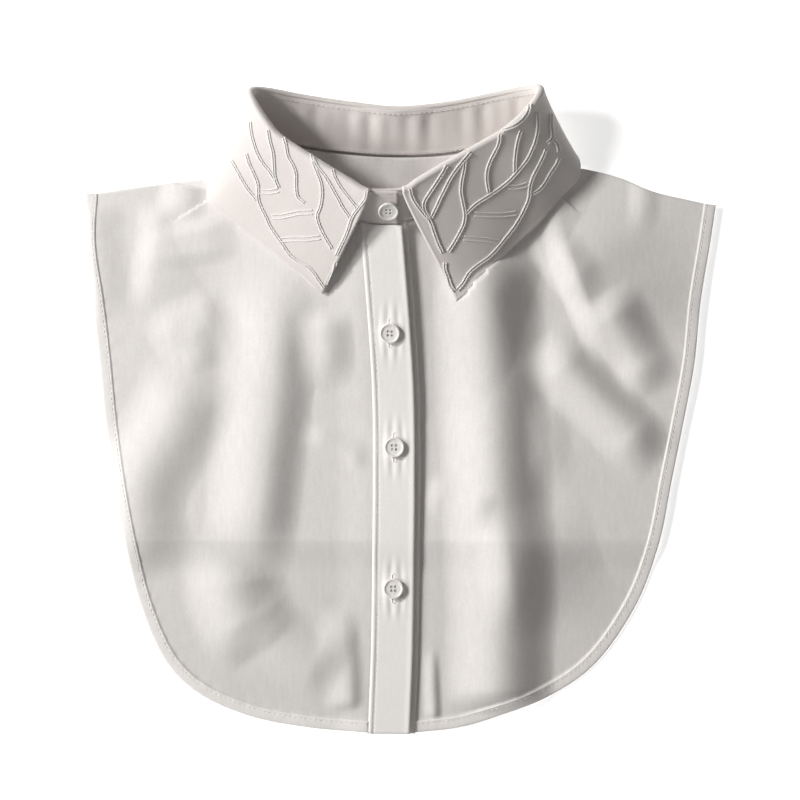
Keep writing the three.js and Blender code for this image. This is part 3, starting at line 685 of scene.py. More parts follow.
# The bib's pieces
FRONT_COLUMNS = 230
FRONT_ROWS = 150
SHOWN = 0.8  # the share of the build's thickness that the cloth is given here
COLLAR_SHOWN = 0.85
HEM_STEPS = np.array([0.35, 0.7, 1.1, 1.5, 1.9, 2.4, 3.2, 4.2, 5.2, 6.0, 6.5]) / HEM_WIDTH


def hem_relief(share):
    """The turned hem: a step up, a stitched groove just inside it, and a flat band."""
    at = share * HEM_WIDTH
    return 0.5 * smooth(0, 0.7, at) + 0.08 * hump(at, 0.9, 0.45) - 0.12 * hump(at, 1.7, 0.35)


def ripple(x, y):
    """The cloth's soft unevenness, the same on every run."""
    return (0.3 * np.sin(x / 17 + y / 23 + 0.8 * np.sin(y / 37)) * np.sin(y / 29 - x / 41)
            + 0.12 * np.sin(x / 9 - y / 31 + np.sin(x / 23 + y / 19)) * np.sin(y / 17 + x / 27))


# The folds as they show in the photograph: a crest charted downwards in its pixels, the width of
# the slope before it and after it, its height in mm, and the shares over which it rises and dies.
DRAPES = {
    "right": (
        (((270, 262), (274, 320), (274, 370), (272, 410), (266, 450), (260, 500), (252, 550), (240, 585)),
         34, 25, 6.9, 0.3, 0.25),
        (((239, 545), (233, 580), (245, 618), (269, 650)), 31, 32, 8.2, 0.35, 0.35),
        (((250, 616), (292, 646), (345, 672)), 26, 22, 4.4, 0.3, 0.3),
        (((204, 345), (192, 378), (180, 410), (164, 440), (146, 472), (138, 505), (142, 545), (156, 585)),
         30, 31, 6.1, 0.3, 0.25),
        (((161, 190), (162, 240), (156, 280), (149, 320)), 16, 50, 2.6, 0.3, 0.35),
        (((91, 195), (95, 250), (100, 300), (106, 335)), 8, 21, 2.2, 0.2, 0.35),
        (((151, 349), (173, 335), (201, 321), (233, 301)), 38, 19, 3.2, 0.35, 0.35),
        (((188, 318), (198, 340), (204, 375)), 12, 14, 1.2, 0.35, 0.35),
        (((326, 305), (328, 340), (331, 395)), 19, 17, 3.2, 0.3, 0.5),
        (((338, 600), (344, 650), (352, 712)), 17, 12, 2.8, 0.35, 0.12),
        (((300, 432), (335, 444), (378, 470)), 10, 13, 1.5, 0.3, 0.3),
        (((186, 185), (183, 205), (180, 225)), 17, 15, 3.2, 0.1, 0.6),
        (((198, 215), (204, 240), (208, 268)), 50, 23, 1.8, 0.35, 0.35),
    ),
    "left": (
        (((492, 235), (488, 300), (491, 360), (494, 430), (497, 500), (500, 560), (501, 620), (500, 716)),
         33, 33, 11.5, 0.12, 0.06),
        (((506, 500), (511, 545), (516, 590), (519, 640)), 22, 56, 6.5, 0.5, 0.5),
        (((536, 338), (570, 372), (610, 413), (644, 445), (664, 461)), 22, 20, 7.0, 0.25, 0.25),
        (((600, 292), (622, 330), (641, 364), (656, 398)), 18, 21, 5.0, 0.25, 0.3),
        (((532, 232), (554, 260), (576, 286), (599, 304)), 12, 21, 4.2, 0.4, 0.4),
        (((557, 190), (567, 240), (589, 300), (619, 370)), 15, 70, 7.5, 0.45, 0.4),
        (((430, 640), (432, 680), (434, 722)), 8, 5, 2.0, 0.4, 0.12),
        (((643, 176), (643, 205), (635, 240)), 10, 11, 1.3, 0.05, 0.6),
        (((541, 390), (545, 435), (548, 490)), 13, 17, 1.4, 0.4, 0.4),
        (((423, 481), (458, 499), (497, 511)), 22, 12, 2.2, 0.3, 0.3),
    ),
}


DRAPE_STEPS = 31


def pixel_places(pixels):
    """Where pixels of the photograph lie on the surface, from the frame's origin."""
    return (np.asarray(pixels) - ORIGIN_PIXEL) * (PIXEL, -PIXEL)


def beside(curve, x, y):
    """How far points lie beside a curve, to the right when it runs down, and where along it."""
    i, t, out = nearest_run(curve, x, y, open_ends=True)
    runs = np.diff(curve, axis=0)
    right = runs[i, 0] * out[:, 1] > runs[i, 1] * out[:, 0]
    distance = np.linalg.norm(out, axis=1)
    signed = np.where(right, distance, -distance)
    return signed.reshape(np.shape(x)), ((i + t) / len(runs)).reshape(np.shape(x))


def drape_rise(name, x, y):
    rise = 0
    for pixels, before, after, height, start, end in DRAPES[name]:
        curve = plan_curve(pixel_places(pixels) - SHIFT[:2])(np.linspace(0, 1, DRAPE_STEPS))
        aside, along = beside(curve, x, y)
        width = np.where(aside > 0, after, before)
        ends = smooth(0, start, along) * smooth(0, end, 1 - along)
        rise = rise + height * ends * (0.5 + 0.5 * np.cos(np.pi * np.clip(aside / width, -1, 1)))
    return rise


def front_cloth(name):
    side = SIDES[name]
    u = spaced(FRONT_COLUMNS, 0.25)
    v = np.linspace(0, 1, FRONT_ROWS)
    inner, outer = edge_curve(side, HEM_WIDTH)(1 - u), edge_curve(side, 0)(1 - u)
    top = seam_plan(mix(side["edge_place"], side["neck"], u), SEAM_GAP)
    centre_y = mix(top[0, 1], inner[0, 1], v)
    centre = np.stack([side["edge"] + side["sign"] * GAP + swing_at(centre_y), centre_y], 1)
    top[0] = centre[0]
    shoulder = shoulder_curve(side, top[-1], inner[-1])(v)
    plan = patch(top, inner, centre, shoulder, u, v)
    strip = mix(inner[:, None], outer[:, None], HEM_STEPS[None, :, None])
    plan = np.concatenate([plan, strip], 1)
    share = np.concatenate([np.zeros(FRONT_ROWS), HEM_STEPS])
    x, y = plan[..., 0], plan[..., 1]
    run = run_lengths(outer)
    inner_run = np.linalg.norm(plan[:, :FRONT_ROWS] - plan[:, FRONT_ROWS - 1:FRONT_ROWS], axis=2)
    from_seam = np.concatenate([inner_run, np.tile(share[FRONT_ROWS:] * HEM_WIDTH, (len(u), 1))], 1)
    pucker = 0.07 * np.sin(run[:, None] / 1.5) * hump(from_seam, 1.0, 2.2)
    rise = np.maximum(0, drape_rise(name, x, y) + ripple(x, y))
    z = front_base(side, x, y) + free_share(side, x, y) * rise
    z = under_leaf(x, y, z) + hem_relief(share)[None] + pucker
    middle = np.dstack([x, y, z])
    # Painted light: the front is lighter where it lies over the back and lightest on its doubled hem, and
    # darker below the back's edge, as painted shade.
    over_back_painted_light = 0.45 * smooth(BACK_EDGE - 1, BACK_EDGE + 1, y)
    layers_and_painted_light = mix(over_back_painted_light, 1, smooth(0, 0.7, share * HEM_WIDTH)[None])
    cloth = closed_sheet(f"front_{name}_cloth", middle, FRONT_CLOTH * SHOWN, bib_cloth, layers_and_painted_light=layers_and_painted_light)
    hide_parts(f"front_{name}_panel", f"hem_{name}")
    return cloth, middle


def back_cloth():
    sides = (SIDES["right"], SIDES["left"])
    shoulder_columns, neck_columns, rows = 60, 90, 110
    v = np.linspace(0, 1, rows) ** 1.15
    edges = [back_side(side, HEM_WIDTH)(v) for side in sides]
    outer_edges = [back_side(side, 0) for side in sides]
    neck = seam_plan(np.linspace(sides[0]["back_neck"], sides[1]["back_neck"], neck_columns), -SEAM_GAP)
    shoulder_right = shoulder_curve(sides[0], neck[0], edges[0][0])(np.linspace(1, 0, shoulder_columns))
    shoulder_left = shoulder_curve(sides[1], neck[-1], edges[1][0])(np.linspace(0, 1, shoulder_columns))
    top = np.concatenate([shoulder_right[:-1], neck, shoulder_left[1:]])
    u = np.linspace(0, 1, len(top))
    bottom = mix(edges[0][-1], edges[1][-1], u[:, None])
    plan = patch(top, bottom, edges[0], edges[1], u, v)
    x, y = plan[..., 0], plan[..., 1]
    distance = nearest_on(REAR_SEAM, x, y)[0]
    tucks = 0.5 * np.sin(x / 4.7 + 0.6 * np.sin(x / 11)) * np.exp(-distance / 16) * smooth(0, 3, distance)
    z = back_height(x, y) + tucks
    cloth = closed_sheet("back_cloth", np.dstack([x, y, z]), BACK_CLOTH * SHOWN, bib_cloth)
    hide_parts("back_panel")
    return cloth, outer_edges


def back_hem(outer_edges):
    """The narrow turned hem round the back's sides and lower edge."""
    sides = (SIDES["right"], SIDES["left"])
    inner_edges = [back_side(side, HEM_WIDTH) for side in sides]
    down, along = np.linspace(0, 1, 120), np.linspace(0, 1, 120)[1:-1]

    def path(edges):
        first, last = edges[0](down), edges[1](down[::-1])
        return np.concatenate([first, mix(first[-1], last[0], along[:, None]), last])

    shares = np.concatenate([[0], HEM_STEPS])
    plan = mix(path(inner_edges)[:, None], path(outer_edges)[:, None], shares[None, :, None])
    x, y = plan[..., 0], plan[..., 1]
    z = back_height(x, y) + 0.2 + 0.8 * hem_relief(shares)[None]
    hem = closed_sheet("back_hem_cloth", np.dstack([x, y, z]), HEM_CLOTH * 0.5, band_cloth)
    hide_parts("hem_back")
    return hem


# The bands down the middle
def band_height(y):
    return front_height(SIDES["left"], swing_at(y), y) + (PLACKET_CLOTH - FRONT_CLOTH) / 2


def band_grid(side, across, rows, lift, profile):
    at = place_across(across + swing_at(FRONT_SEAM), side["end"], side["neck"])
    top = seam_plan(at, SEAM_GAP / 4)[:, 1]
    y = mix(top[None], HEM_LINE, np.linspace(0, 1, rows)[:, None])
    x = across[None] + swing_at(y)
    z = band_height(y) + lift + profile
    return np.dstack([x, y, z])


BAND_ROWS = 300
BAND_COLUMNS = 40
PLACKET_SEAM = 3.0


def placket_rise(y):
    """How far the placket's free edge stands up: less towards the hem."""
    return PLACKET_RISE * mix(0.55, 1, smooth(-0.85 * FRONT_LENGTH, -0.4 * FRONT_LENGTH, y - FRONT_SEAM))


def placket_band():
    """The upper band: a stitched ridge on its right side and a free folded edge on its left."""
    start, stop = -PLACKET_WIDTH / 2 - 0.9, PLACKET_WIDTH / 2
    across = mix(start, stop, spaced(BAND_COLUMNS, 0.35))
    inside = across - start
    ridge = 0.35 * hump(inside, PLACKET_SEAM / 2, 0.9) - 0.25 * hump(inside, PLACKET_SEAM, 0.5)
    profile = ridge + 0.2 * smooth(4, 1, stop - across)
    grid = band_grid(SIDES["right"], across, BAND_ROWS, STEP, profile[None])
    x, y = grid[..., 0], grid[..., 1]
    for along in PLACKET_BUTTONS:
        at = FRONT_SEAM - along * FRONT_LENGTH
        reach = np.hypot((x - swing_at(at)) / 6, (y - at) / 12)
        grid[..., 2] += 0.25 * np.sin((x - swing_at(at)) / 0.9) * hump(reach, 0.9, 0.5)
    grid[..., 2] += 0.3 * ripple(x * 1.3, y * 1.4) * smooth(0, 4, inside)[None]
    grid[..., 2] += placket_rise(y) * np.clip(inside / PLACKET_WIDTH, 0, 1)[None]
    band = closed_sheet("placket_band", grid, PLACKET_CLOTH * SHOWN, band_cloth, roll=0.1)
    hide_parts("placket")
    return band, grid, int(np.argmin(abs(inside - PLACKET_SEAM)))


def under_band():
    start, stop = -PLACKET_WIDTH / 2 + UNDER_SHOW, PLACKET_WIDTH / 2 + UNDER_SHOW + 0.8
    across = mix(start, stop, spaced(BAND_COLUMNS, 0.35))
    profile = 0.1 * hump(stop - across, 1.4, 0.7)
    grid = band_grid(SIDES["left"], across, BAND_ROWS, 0.0, profile[None])
    band = closed_sheet("under_band", grid, PLACKET_CLOTH * SHOWN, band_cloth)
    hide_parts("under_placket")
    return band


# The collar
def stand_cloth():
    columns, rows = 420, 34
    top = ROLL_RADIUS + LEAF_CLOTH / 2 - SEAM_GAP
    at = np.linspace(RIGHT_END, LEFT_END, columns)[:, None]
    v = spaced(rows, 0.4)[None]
    height = mix(SEAM_GAP, stand_height_at(at) - top, v)
    middle = stand_point(at + 0 * v, height)
    outward = outward_at(at + 0 * v)
    rear = smooth(8.5, 9.8, at) * (1 - smooth(13.4, 14.4, at))
    run = run_lengths(middle[:, 0])[:, None]
    tuck = (0.5 * np.sin(run / 2.6 + 0.7 * np.sin(run / 9)) + 0.35 * np.sin(run / 1.7 + 1)) * rear
    tuck = tuck * smooth(0, 0.12, v) * (0.25 + 0.75 * v) * smooth(0, 0.3, 1 - v)
    seam = -0.3 * hump(v * STAND_HEIGHT, 1.8, 0.5) - 0.3 * hump((1 - v) * STAND_HEIGHT, 2.6, 0.6)
    middle = middle + outward * (tuck + seam)[..., None]
    shown = STAND_CLOTH * COLLAR_SHOWN
    cloth = closed_sheet("collar_stand_cloth", middle, shown, collar_cloth, roll=0.15, rolled=True)
    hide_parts("collar_stand")
    return cloth, middle


def bed_share(at):
    return np.clip(ring("bed", at), 0, 1)


def bed_point(at, x, y):
    """Where the leaf lies: on a front, or on the surface under the back."""
    right = front_height(SIDES["right"], x, y)
    left = front_height(SIDES["left"], x, y)
    on_bib = np.where(at < LEFT_END / 2, right, left) + FRONT_CLOTH / 2 + LEAF_GAP
    return np.stack([x, y, bed_share(at) * on_bib + LEAF_CLOTH / 2], -1)


def fall_grid(at, roll_share, leaf_share):
    """Middle points of the fall: over the stand's top edge, round the roll and down to the bib."""
    at = at[:, None]
    lean, outward = lean_at(at), outward_at(at)
    top = stand_height_at(at)
    centre = stand_point(at, top - ROLL_RADIUS - LEAF_CLOTH / 2) + outward * ROLL_RADIUS
    angle = np.pi * roll_share[None, :, None]
    roll = centre + ROLL_RADIUS * (lean * np.sin(angle) - outward * np.cos(angle))
    heading = np.radians(ring("heading", at))
    reach = ring("reach", at) * LEAF_REACH
    fold = stand_point(at, top)
    end = bed_point(at, fold[..., 0] + reach * np.sin(heading), fold[..., 1] - reach * np.cos(heading))
    flat = ring("flat", at)
    start = centre + outward * ROLL_RADIUS
    drop = start - lean * STAND_HEIGHT / 5
    lie = bed_point(at, mix(end[..., 0], fold[..., 0], flat), mix(end[..., 1], fold[..., 1], flat))
    lie[..., 2] += LEAF_BOW * bed_share(at)
    t = leaf_share[None, :, None]
    leaf = (start * (1 - t) ** 3 + 3 * drop * t * (1 - t) ** 2 + 3 * lie * t ** 2 * (1 - t) + end * t ** 3)
    return np.concatenate([roll, leaf], 1)


def softened(grid, reach):
    """The grid's heights smoothed along its first axis, with its ends kept."""
    weights = np.hanning(2 * reach + 3)[1:-1]
    weights /= weights.sum()
    z = grid[..., 2]
    ends = np.pad(z, ((reach, reach), (0, 0)), mode="reflect", reflect_type="odd")
    soft = np.apply_along_axis(lambda line: np.convolve(line, weights, mode="valid"), 0, ends)
    made = grid.copy()
    made[..., 2] = soft
    return made


def fall_cloth():
    at = mix(RIGHT_POINT, LEFT_POINT, spaced(430, 0.3))
    roll_share = np.linspace(0, 1, 9)[:-1]
    grid = softened(fall_grid(at, roll_share, spaced(64, 0.3)), 26)
    grid[..., 2] = np.maximum(grid[..., 2], 0.6 * LEAF_CLOTH)
    shown = LEAF_CLOTH * COLLAR_SHOWN
    cloth = closed_sheet("collar_fall_cloth", grid, shown, collar_cloth, roll=0.35, rolled=True)
    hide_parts("collar_fall")
    return cloth


stand, stand_grid = stand_cloth()
fall = fall_cloth()
fall_tree = surface_tree(fall)
front_right, right_grid = front_cloth("right")
front_left, left_grid = front_cloth("left")
back, back_edges = back_cloth()
hem_back = back_hem(back_edges)
placket, placket_grid, placket_row = placket_band()
under = under_band()


# Thread and cord
def resample(points, spacing):
    lengths = run_lengths(points)
    steps = max(2, int(lengths[-1] / spacing) + 1)
    return at_lengths(np.linspace(0, lengths[-1], steps), lengths, points)


def tube(points, normals, radius, pitch=0.0, plies=2, sides=8, flat=1.0):
    """A closed tube along points, laid as a twisted cord where it has a pitch."""
    along = unit(np.gradient(points, axis=0))
    side = unit(np.cross(normals, along))
    up = unit(np.cross(along, side))
    run = run_lengths(points)
    angle = np.linspace(0, 2 * np.pi, sides, endpoint=False)
    size = np.ones((len(points), sides)) * radius
    if pitch:
        turn = 2 * np.pi * run[:, None] / pitch
        size *= 0.8 + 0.2 * np.cos(plies * angle[None] - turn)
    size[0] *= 0.3
    size[-1] *= 0.3
    ring_points = (points[:, None] + side[:, None] * (size * np.cos(angle))[..., None]
                   + up[:, None] * (size * flat * np.sin(angle))[..., None])
    vertices = ring_points.reshape(-1, 3)
    index = np.arange(len(vertices)).reshape(len(points), sides)
    after = np.roll(index, -1, axis=1)
    faces = np.stack([index[:-1], after[:-1], after[1:], index[1:]], -1).reshape(-1, 4)
    hub = len(vertices)
    vertices = np.concatenate([vertices, points[:1], points[-1:]])
    ends = [(after[0, k], index[0, k], hub) for k in range(sides)]
    ends += [(index[-1, k], after[-1, k], hub + 1) for k in range(sides)]
    return vertices, faces.tolist() + [list(face) for face in ends]


def joined(name, parts, material):
    """One object from many small closed parts."""
    points, faces, start = [], [], 0
    for part_points, part_faces in parts:
        points.append(part_points)
        faces += [[start + k for k in face] for face in part_faces]
        start += len(part_points)
    return make_object(name, np.concatenate(points), faces, material)


STITCH_LENGTH = 2.1
STITCH_PITCH = 2.9
STITCH_RADIUS = 0.18


def stitches_along(points, normals):
    """Short stitches that dip into the cloth at both ends."""
    lengths = run_lengths(points)
    parts = []
    for start in np.arange(0.5, lengths[-1] - STITCH_LENGTH, STITCH_PITCH):
        along = start + STITCH_LENGTH * np.linspace(0, 1, 5)
        path = at_lengths(along, lengths, points)
        up = unit(at_lengths(along, lengths, normals))
        rise = STITCH_RADIUS * np.array([-0.6, 0.5, 0.8, 0.5, -0.6])
        parts.append(tube(path + up * rise[:, None], up, STITCH_RADIUS, sides=6))
    return parts


# The camera's place, for what is charted in the photograph's pixels
camera_place = np.array([*pixel_places((PHOTO_PIXELS / 2, PHOTO_PIXELS / 2)), CAMERA_HEIGHT])


def seen_on(tree, pixels):
    """Where the camera sees pixels of the photograph on a surface: places and normals."""
    places, normals = [], []
    for place in pixel_places(pixels):
        way = Vector(np.array([*place, 0.0]) - camera_place)
        hit, normal = tree.ray_cast(Vector(camera_place * MM), way)[:2]
        if hit is None:
            continue
        places.append(np.array(hit) / MM - SHIFT)
        normals.append(np.array(normal))
    return np.array(places), np.array(normals)


# The corded leaf pattern in the photograph's pixels: the strokes of each leaf point's edges and
# veins, and the rungs of finer cord that cross it.
CORDS = {
    "right": {
        "strokes": (
            ((246, 153), (249, 163), (254, 174), (258, 185), (258, 197), (261, 207), (266, 217),
             (270, 226), (276, 235), (283, 245), (289, 254), (297, 261), (307, 266), (314, 273),
             (319, 281), (325, 289)),
            ((231, 160), (236, 169), (242, 180), (249, 191), (257, 200)),
            ((250, 121), (251, 132), (254, 144), (258, 155), (264, 165), (270, 172), (275, 181)),
            ((268, 129), (270, 141), (273, 153), (274, 166), (275, 178), (279, 188)),
            ((283, 137), (286, 145), (288, 156), (293, 165), (296, 174), (296, 186), (298, 197),
             (305, 203)),
            ((311, 153), (313, 161), (317, 172), (321, 183), (322, 195), (320, 207), (317, 216),
             (320, 227), (325, 237), (332, 249)),
            ((312, 157), (318, 167), (325, 176), (331, 186), (337, 197), (343, 208), (350, 218)),
            ((332, 169), (336, 179), (342, 189), (349, 198), (357, 208)),
            ((367, 190), (365, 199), (359, 207), (352, 217), (348, 229), (344, 239), (339, 249),
             (336, 256)),
            ((336, 262), (334, 270), (330, 280), (327, 288)),
        ),
        "rungs": (
            ((259, 191), (268, 192), (279, 190)),
            ((271, 217), (284, 216), (297, 213), (313, 212)),
            ((281, 240), (293, 239), (306, 239), (321, 237)),
        ),
    },
    "left": {
        "strokes": (
            ((410, 188), (412, 196), (417, 205), (424, 214), (430, 221), (434, 232), (438, 243),
             (443, 253)),
            ((447, 165), (442, 174), (435, 185), (429, 194), (424, 203), (425, 211), (430, 219)),
            ((471, 152), (463, 161), (456, 170), (450, 179), (445, 189), (440, 199), (436, 208),
             (431, 218)),
            ((465, 161), (464, 170), (462, 180), (461, 191), (463, 203), (465, 214), (464, 223),
             (459, 234), (454, 243), (448, 252)),
            ((500, 134), (499, 143), (495, 152), (490, 162), (487, 172), (487, 182), (489, 193)),
            ((537, 112), (538, 125), (536, 139), (532, 150), (527, 160), (519, 170), (510, 180),
             (499, 189), (487, 197), (475, 205), (466, 214)),
            ((521, 130), (518, 140), (516, 151), (515, 162), (515, 173)),
            ((530, 103), (529, 110), (523, 119), (514, 126), (502, 131)),
            ((546, 149), (543, 157), (538, 167), (533, 177), (530, 187), (529, 198), (525, 208),
             (520, 218), (513, 229), (505, 239), (497, 249), (488, 258), (478, 265), (469, 273),
             (463, 283), (457, 290)),
            ((559, 158), (556, 165), (550, 174), (545, 183), (539, 190), (532, 194)),
            ((551, 113), (551, 125), (552, 138), (547, 143)),
            ((553, 139), (557, 144), (559, 152)),
            ((445, 262), (445, 269), (448, 277), (451, 286), (455, 291)),
        ),
        "rungs": (
            ((508, 187), (518, 187), (528, 184)),
            ((474, 214), (488, 215), (502, 215), (517, 213)),
            ((463, 238), (475, 239), (488, 240), (500, 242)),
        ),
    },
}
CORD_RADIUS = {"right": 0.46, "left": 0.54}
CORD_SPREAD = {"right": 0.56, "left": 0.68}
CORD_PITCH = 2.0
CORD_STEP = 0.42
RUNG_RADIUS = 0.4
RUNG_SPREAD = 1.1


def cord_on(pixels, shift, radius):
    """One cord along pixels, moved sideways by a distance in millimetres."""
    along = unit(np.gradient(pixels, axis=0))
    aside = np.stack([-along[:, 1], along[:, 0]], 1) * shift / PIXEL
    places, normals = seen_on(fall_tree, pixels + aside)
    if len(places) < 6:
        return None
    weights = np.ones(5) / 5
    padded = np.pad(places, ((2, 2), (0, 0)), mode="edge")
    soft = np.stack([np.convolve(padded[:, k], weights, mode="valid") for k in range(3)], 1)
    return tube(soft + unit(normals) * radius * 0.55, normals, radius, pitch=CORD_PITCH, flat=0.85)


def embroidery(name):
    """Pairs of cords along the pattern's strokes and rungs."""
    kinds = {"strokes": (CORD_SPREAD[name], CORD_RADIUS[name]), "rungs": (RUNG_SPREAD, RUNG_RADIUS)}
    parts = []
    for kind, (spread, radius) in kinds.items():
        for points in CORDS[name][kind]:
            pixels = resample(plan_curve(points)(np.linspace(0, 1, 400)), CORD_STEP / PIXEL)
            parts += [cord_on(pixels, shift, radius) for shift in (spread, -spread)]
    return joined(f"embroidery_{name}", [part for part in parts if part is not None], thread)


embroidery_right = embroidery("right")
embroidery_left = embroidery("left")


def seam_stitches(grid, row, lift, sign=0):
    """Stitches on a row of a grid of middle points: on its upper face, or on the face of a sign."""
    normals = grid_normals(grid)[:, row]
    normals = normals * (sign or np.sign(normals[:, 2].mean()))
    return stitches_along(grid[:, row] + normals * lift, normals)


HEM_STITCH_ROW = FRONT_ROWS + 4
hem_stitches = [part for grid in (right_grid, left_grid)
                for part in seam_stitches(grid, HEM_STITCH_ROW, FRONT_CLOTH * SHOWN / 2)]
stand_rows = [int(share * (stand_grid.shape[1] - 1)) for share in (0.075, 0.9)]
stand_stitches = [part for row in stand_rows for sign in (1, -1)
                  for part in seam_stitches(stand_grid, row, STAND_CLOTH * COLLAR_SHOWN / 2, sign)]
stitches = [
    joined("hem_stitches", hem_stitches, thread),
    joined("placket_stitches", seam_stitches(placket_grid, placket_row, PLACKET_CLOTH * SHOWN / 2), thread),
    joined("stand_stitches", stand_stitches, thread),
]


# Buttons and buttonholes
def lathe(profile, segments):
    """A closed turned body from a profile that starts and ends on the axis."""
    angle = np.linspace(0, 2 * np.pi, segments, endpoint=False)
    points = [(0, 0, profile[0][1])]
    for radius, z in profile[1:-1]:
        points += [(radius * math.cos(a), radius * math.sin(a), z) for a in angle]
    points.append((0, 0, profile[-1][1]))
    rings = len(profile) - 2
    faces = [[0, 1 + (k + 1) % segments, 1 + k] for k in range(segments)]
    for i in range(rings - 1):
        low, high = 1 + i * segments, 1 + (i + 1) * segments
        for k in range(segments):
            after = (k + 1) % segments
            faces.append([low + k, low + after, high + after, high + k])
    last, hub = 1 + (rings - 1) * segments, len(points) - 1
    faces += [[last + k, last + (k + 1) % segments, hub] for k in range(segments)]
    return np.array(points), faces


BUTTON_PROFILE = (
    (0, 0), (0.6, 0), (0.82, 0.02), (0.93, 0.16), (0.985, 0.42), (0.99, 0.7), (0.965, 0.9), (0.91, 0.985),
    (0.86, 0.99), (0.8, 0.93), (0.745, 0.81), (0.68, 0.755), (0.55, 0.74), (0.3, 0.735), (0, 0.735),
)


def frame_from(normal, across):
    """Axes with z along a normal and x as near as can be to a direction."""
    z = unit(np.asarray(normal, float))
    x = unit(np.asarray(across, float) - z * np.dot(across, z))
    return np.stack([x, np.cross(z, x), z])


def make_button(name, centre, normal, node):
    """A turned button with four drilled holes, and the sewing thread in them."""
    axes = frame_from(normal, (1, 0, 0))
    profile = [(r * BUTTON_RADIUS, z * BUTTON_THICKNESS) for r, z in BUTTON_PROFILE]
    points, faces = lathe(profile, 64)
    body = joined(name, [(points @ axes + centre, faces)], resin)
    floor = BUTTON_THICKNESS * BUTTON_PROFILE[-1][1]
    bore = BUTTON_HOLE / 2
    drill = [(0, -1), (bore, -1), (bore, 1.6), (bore + 0.25, 1.9), (0, 1.9)]
    strands = []
    for turn in np.radians((45, 135, 225, 315)):
        spot = np.array([math.cos(turn), math.sin(turn), 0]) * BUTTON_HOLE_SPREAD
        cutter_points, cutter_faces = lathe(drill, 20)
        cutter = joined("cutter", [((cutter_points + spot) @ axes + centre, cutter_faces)], resin)
        cut = body.modifiers.new("hole", "BOOLEAN")
        cut.operation = "DIFFERENCE"
        cut.object = cutter
        cut.solver = "EXACT"
        bpy.context.view_layer.objects.active = body
        bpy.ops.object.modifier_apply(modifier=cut.name)
        bpy.data.objects.remove(cutter)
        t = np.linspace(0, 1, 7)[:, None]
        strand = spot * (1 - 0.12 * t) + (0, 0, 1) * (0.1 + t * (floor - 0.5))
        across = np.tile(axes[0], (len(t), 1))
        strands.append(tube(strand @ axes + centre, across, 0.34, sides=8))
    body.data.polygons.foreach_set("use_smooth", np.ones(len(body.data.polygons), bool))
    body.data.set_sharp_from_angle(angle=math.radians(40))
    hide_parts(node)
    return body, joined(f"{name}_thread", strands, thread)


def buttonhole(centre, axes, half_length, half_width):
    """A worked buttonhole: a rim of close stitches round a slit."""
    turn = np.linspace(0, 2 * np.pi, 220, endpoint=False)
    straight = half_length - half_width
    path = np.stack([
        half_width * np.cos(turn),
        straight * np.clip(4 * np.sin(turn), -1, 1) + half_width * np.sin(turn),
        np.zeros_like(turn),
    ], 1)
    path = np.concatenate([path, path[:1]])
    path = resample(path, 0.2)
    ups = np.tile(axes[2], (len(path), 1))
    return tube(path @ axes + centre, ups, 0.5, pitch=0.9, plies=1, sides=8, flat=0.6)


# Half lengths and half widths of the buttonholes, and how far they stand out of the cloth
PLACKET_HOLE = (8.2, 1.0)
STAND_HOLE = (5.4, 0.9)
HOLE_LIFT = 0.1

buttons, sewings, holes = [], [], []
for number, along in enumerate(PLACKET_BUTTONS, start=1):
    y = FRONT_SEAM - along * FRONT_LENGTH
    slope = (band_height(y + BUTTON_RADIUS) - band_height(y - BUTTON_RADIUS)) / (2 * BUTTON_RADIUS)
    normal = unit(np.array([-placket_rise(y) / PLACKET_WIDTH, -slope, 1.0]))
    lift = PLACKET_CLOTH / 2 + GAP
    foot = np.array([swing_at(y), y, band_height(y) + STEP + placket_rise(y) / 2])
    body, sewing = make_button(f"button_{number}_resin", foot + normal * lift, normal, f"button_{number}")
    axes = frame_from(normal, (1, 0, 0))
    holes.append(buttonhole(foot + normal * (PLACKET_CLOTH * 0.4 + HOLE_LIFT), axes, *PLACKET_HOLE))
    buttons.append(body)
    sewings.append(sewing)

neck_at = place_across(STAND_BUTTON_ACROSS * NECK_HALF_WIDTH, RIGHT_END, RIGHT_POINT)
neck_out = outward_at(neck_at)
neck_foot = stand_point(neck_at, STAND_BUTTON_HEIGHT * STAND_HEIGHT)
# On its thread the button lies a little flatter than the stand.
BUTTON_TIP = 0.22
BUTTON_SHANK = 0.7
button_way = unit(neck_out + np.array([0, 0, BUTTON_TIP]))
button_foot = neck_foot + neck_out * (STAND_CLOTH / 2 + GAP + BUTTON_SHANK)
body, sewing = make_button("button_stand_resin", button_foot, button_way, "button_stand")
buttons.append(body)
sewings.append(sewing)
neck_axes = frame_from(neck_out, lean_at(neck_at))
holes.append(buttonhole(neck_foot + neck_out * (STAND_CLOTH * 0.43 + HOLE_LIFT), neck_axes, *STAND_HOLE))
hole_rims = joined("buttonholes", holes, thread)

# Riding: every piece hangs on the root body
BIB = (front_right, front_left, back)
BANDS = (hem_back, placket, under)
COLLAR = (stand, fall)
for pieces, slot in ((BIB, "bib_cloth"), (BANDS, "band_cloth"), (COLLAR, "collar_cloth")):
    for piece in pieces:
        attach(piece, "root")
for piece in buttons:
    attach(piece, "root")
for piece in (*sewings, hole_rims, *stitches, embroidery_right, embroidery_left):
    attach(piece, "root")


# Floor, light and camera
FLOOR_HALF = 3.0
FLOOR_GLOW = 0.62
WORLD_LIGHT = 0.12


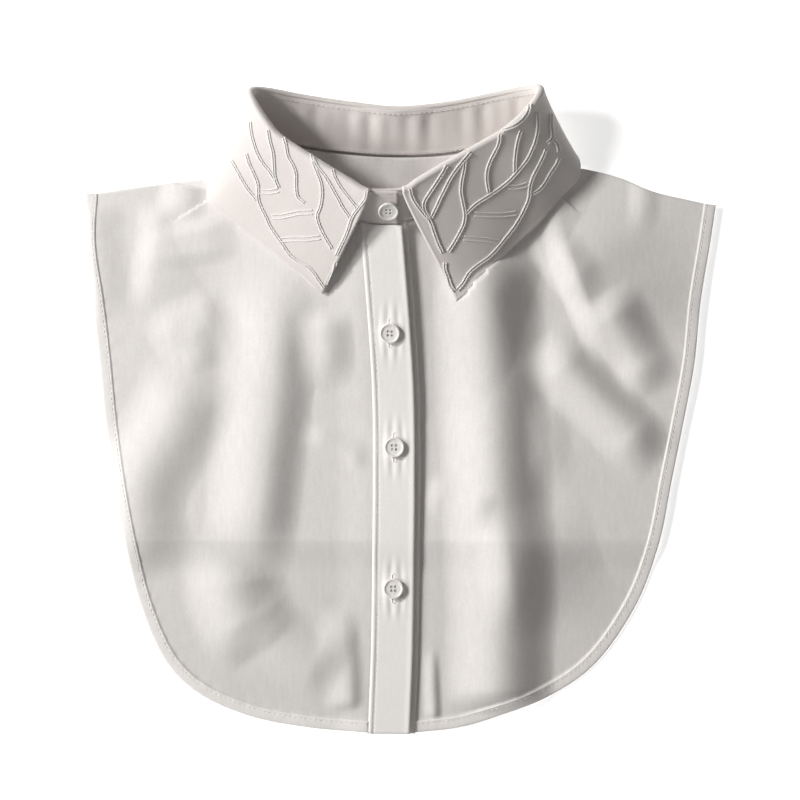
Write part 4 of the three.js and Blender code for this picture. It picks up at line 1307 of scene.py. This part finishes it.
def make_floor():
    half = FLOOR_HALF
    mesh = bpy.data.meshes.new("floor")
    corners = [(-half, -half, 0), (half, -half, 0), (half, half, 0), (-half, half, 0)]
    mesh.from_pydata(corners, [], [(0, 1, 2, 3)])
    floor = bpy.data.objects.new("floor", mesh)
    bpy.context.scene.collection.objects.link(floor)
    material, shader = principled("pale_floor", (0.93, 0.93, 0.93), 0.9)
    shader.inputs["Emission Color"].default_value = (1, 1, 1, 1)
    shader.inputs["Emission Strength"].default_value = FLOOR_GLOW
    mesh.materials.append(material)


# Each lamp's name, azimuth from +X towards +Y and elevation in degrees, distance and size in
# metres, watts and colour.
WARM_LIGHT = (1.0, 0.985, 0.965)
LAMPS = (
    ("key", 154, 33, 2.0, 0.34, 27.4, WARM_LIGHT),
    ("side", 182, 31, 2.0, 0.7, 16.8, WARM_LIGHT),
    ("fill", 250, 60, 1.6, 1.4, 1.4, (0.96, 0.97, 1.0)),
)


def make_lamp(name, azimuth, elevation, distance, size, power, colour):
    """A round softbox turned to the bib."""
    light = bpy.data.lights.new(name, "AREA")
    light.shape = "DISK"
    light.size = size
    light.energy = power
    light.color = colour
    holder = bpy.data.objects.new(name, light)
    turn, rise = math.radians(azimuth), math.radians(elevation)
    towards = Vector((math.cos(turn) * math.cos(rise), math.sin(turn) * math.cos(rise), math.sin(rise)))
    holder.location = towards * distance
    holder.rotation_euler = towards.to_track_quat("Z", "Y").to_euler()
    bpy.context.scene.collection.objects.link(holder)


def make_camera():
    lens = bpy.data.cameras.new("camera")
    lens.sensor_width = 36
    lens.lens = 36 * CAMERA_HEIGHT / (PHOTO_PIXELS * PIXEL)
    lens.clip_end = 10
    camera = bpy.data.objects.new("camera", lens)
    camera.location = Vector(camera_place * MM)
    bpy.context.scene.collection.objects.link(camera)
    bpy.context.scene.camera = camera


make_floor()
for row in LAMPS:
    make_lamp(*row)
make_camera()
world = bpy.data.worlds.new("studio")
world.use_nodes = True
world.node_tree.nodes["Background"].inputs["Color"].default_value = (1.0, 0.965, 0.93, 1)
world.node_tree.nodes["Background"].inputs["Strength"].default_value = WORLD_LIGHT
bpy.context.scene.world = world
bpy.context.scene.view_settings.view_transform = "Standard"
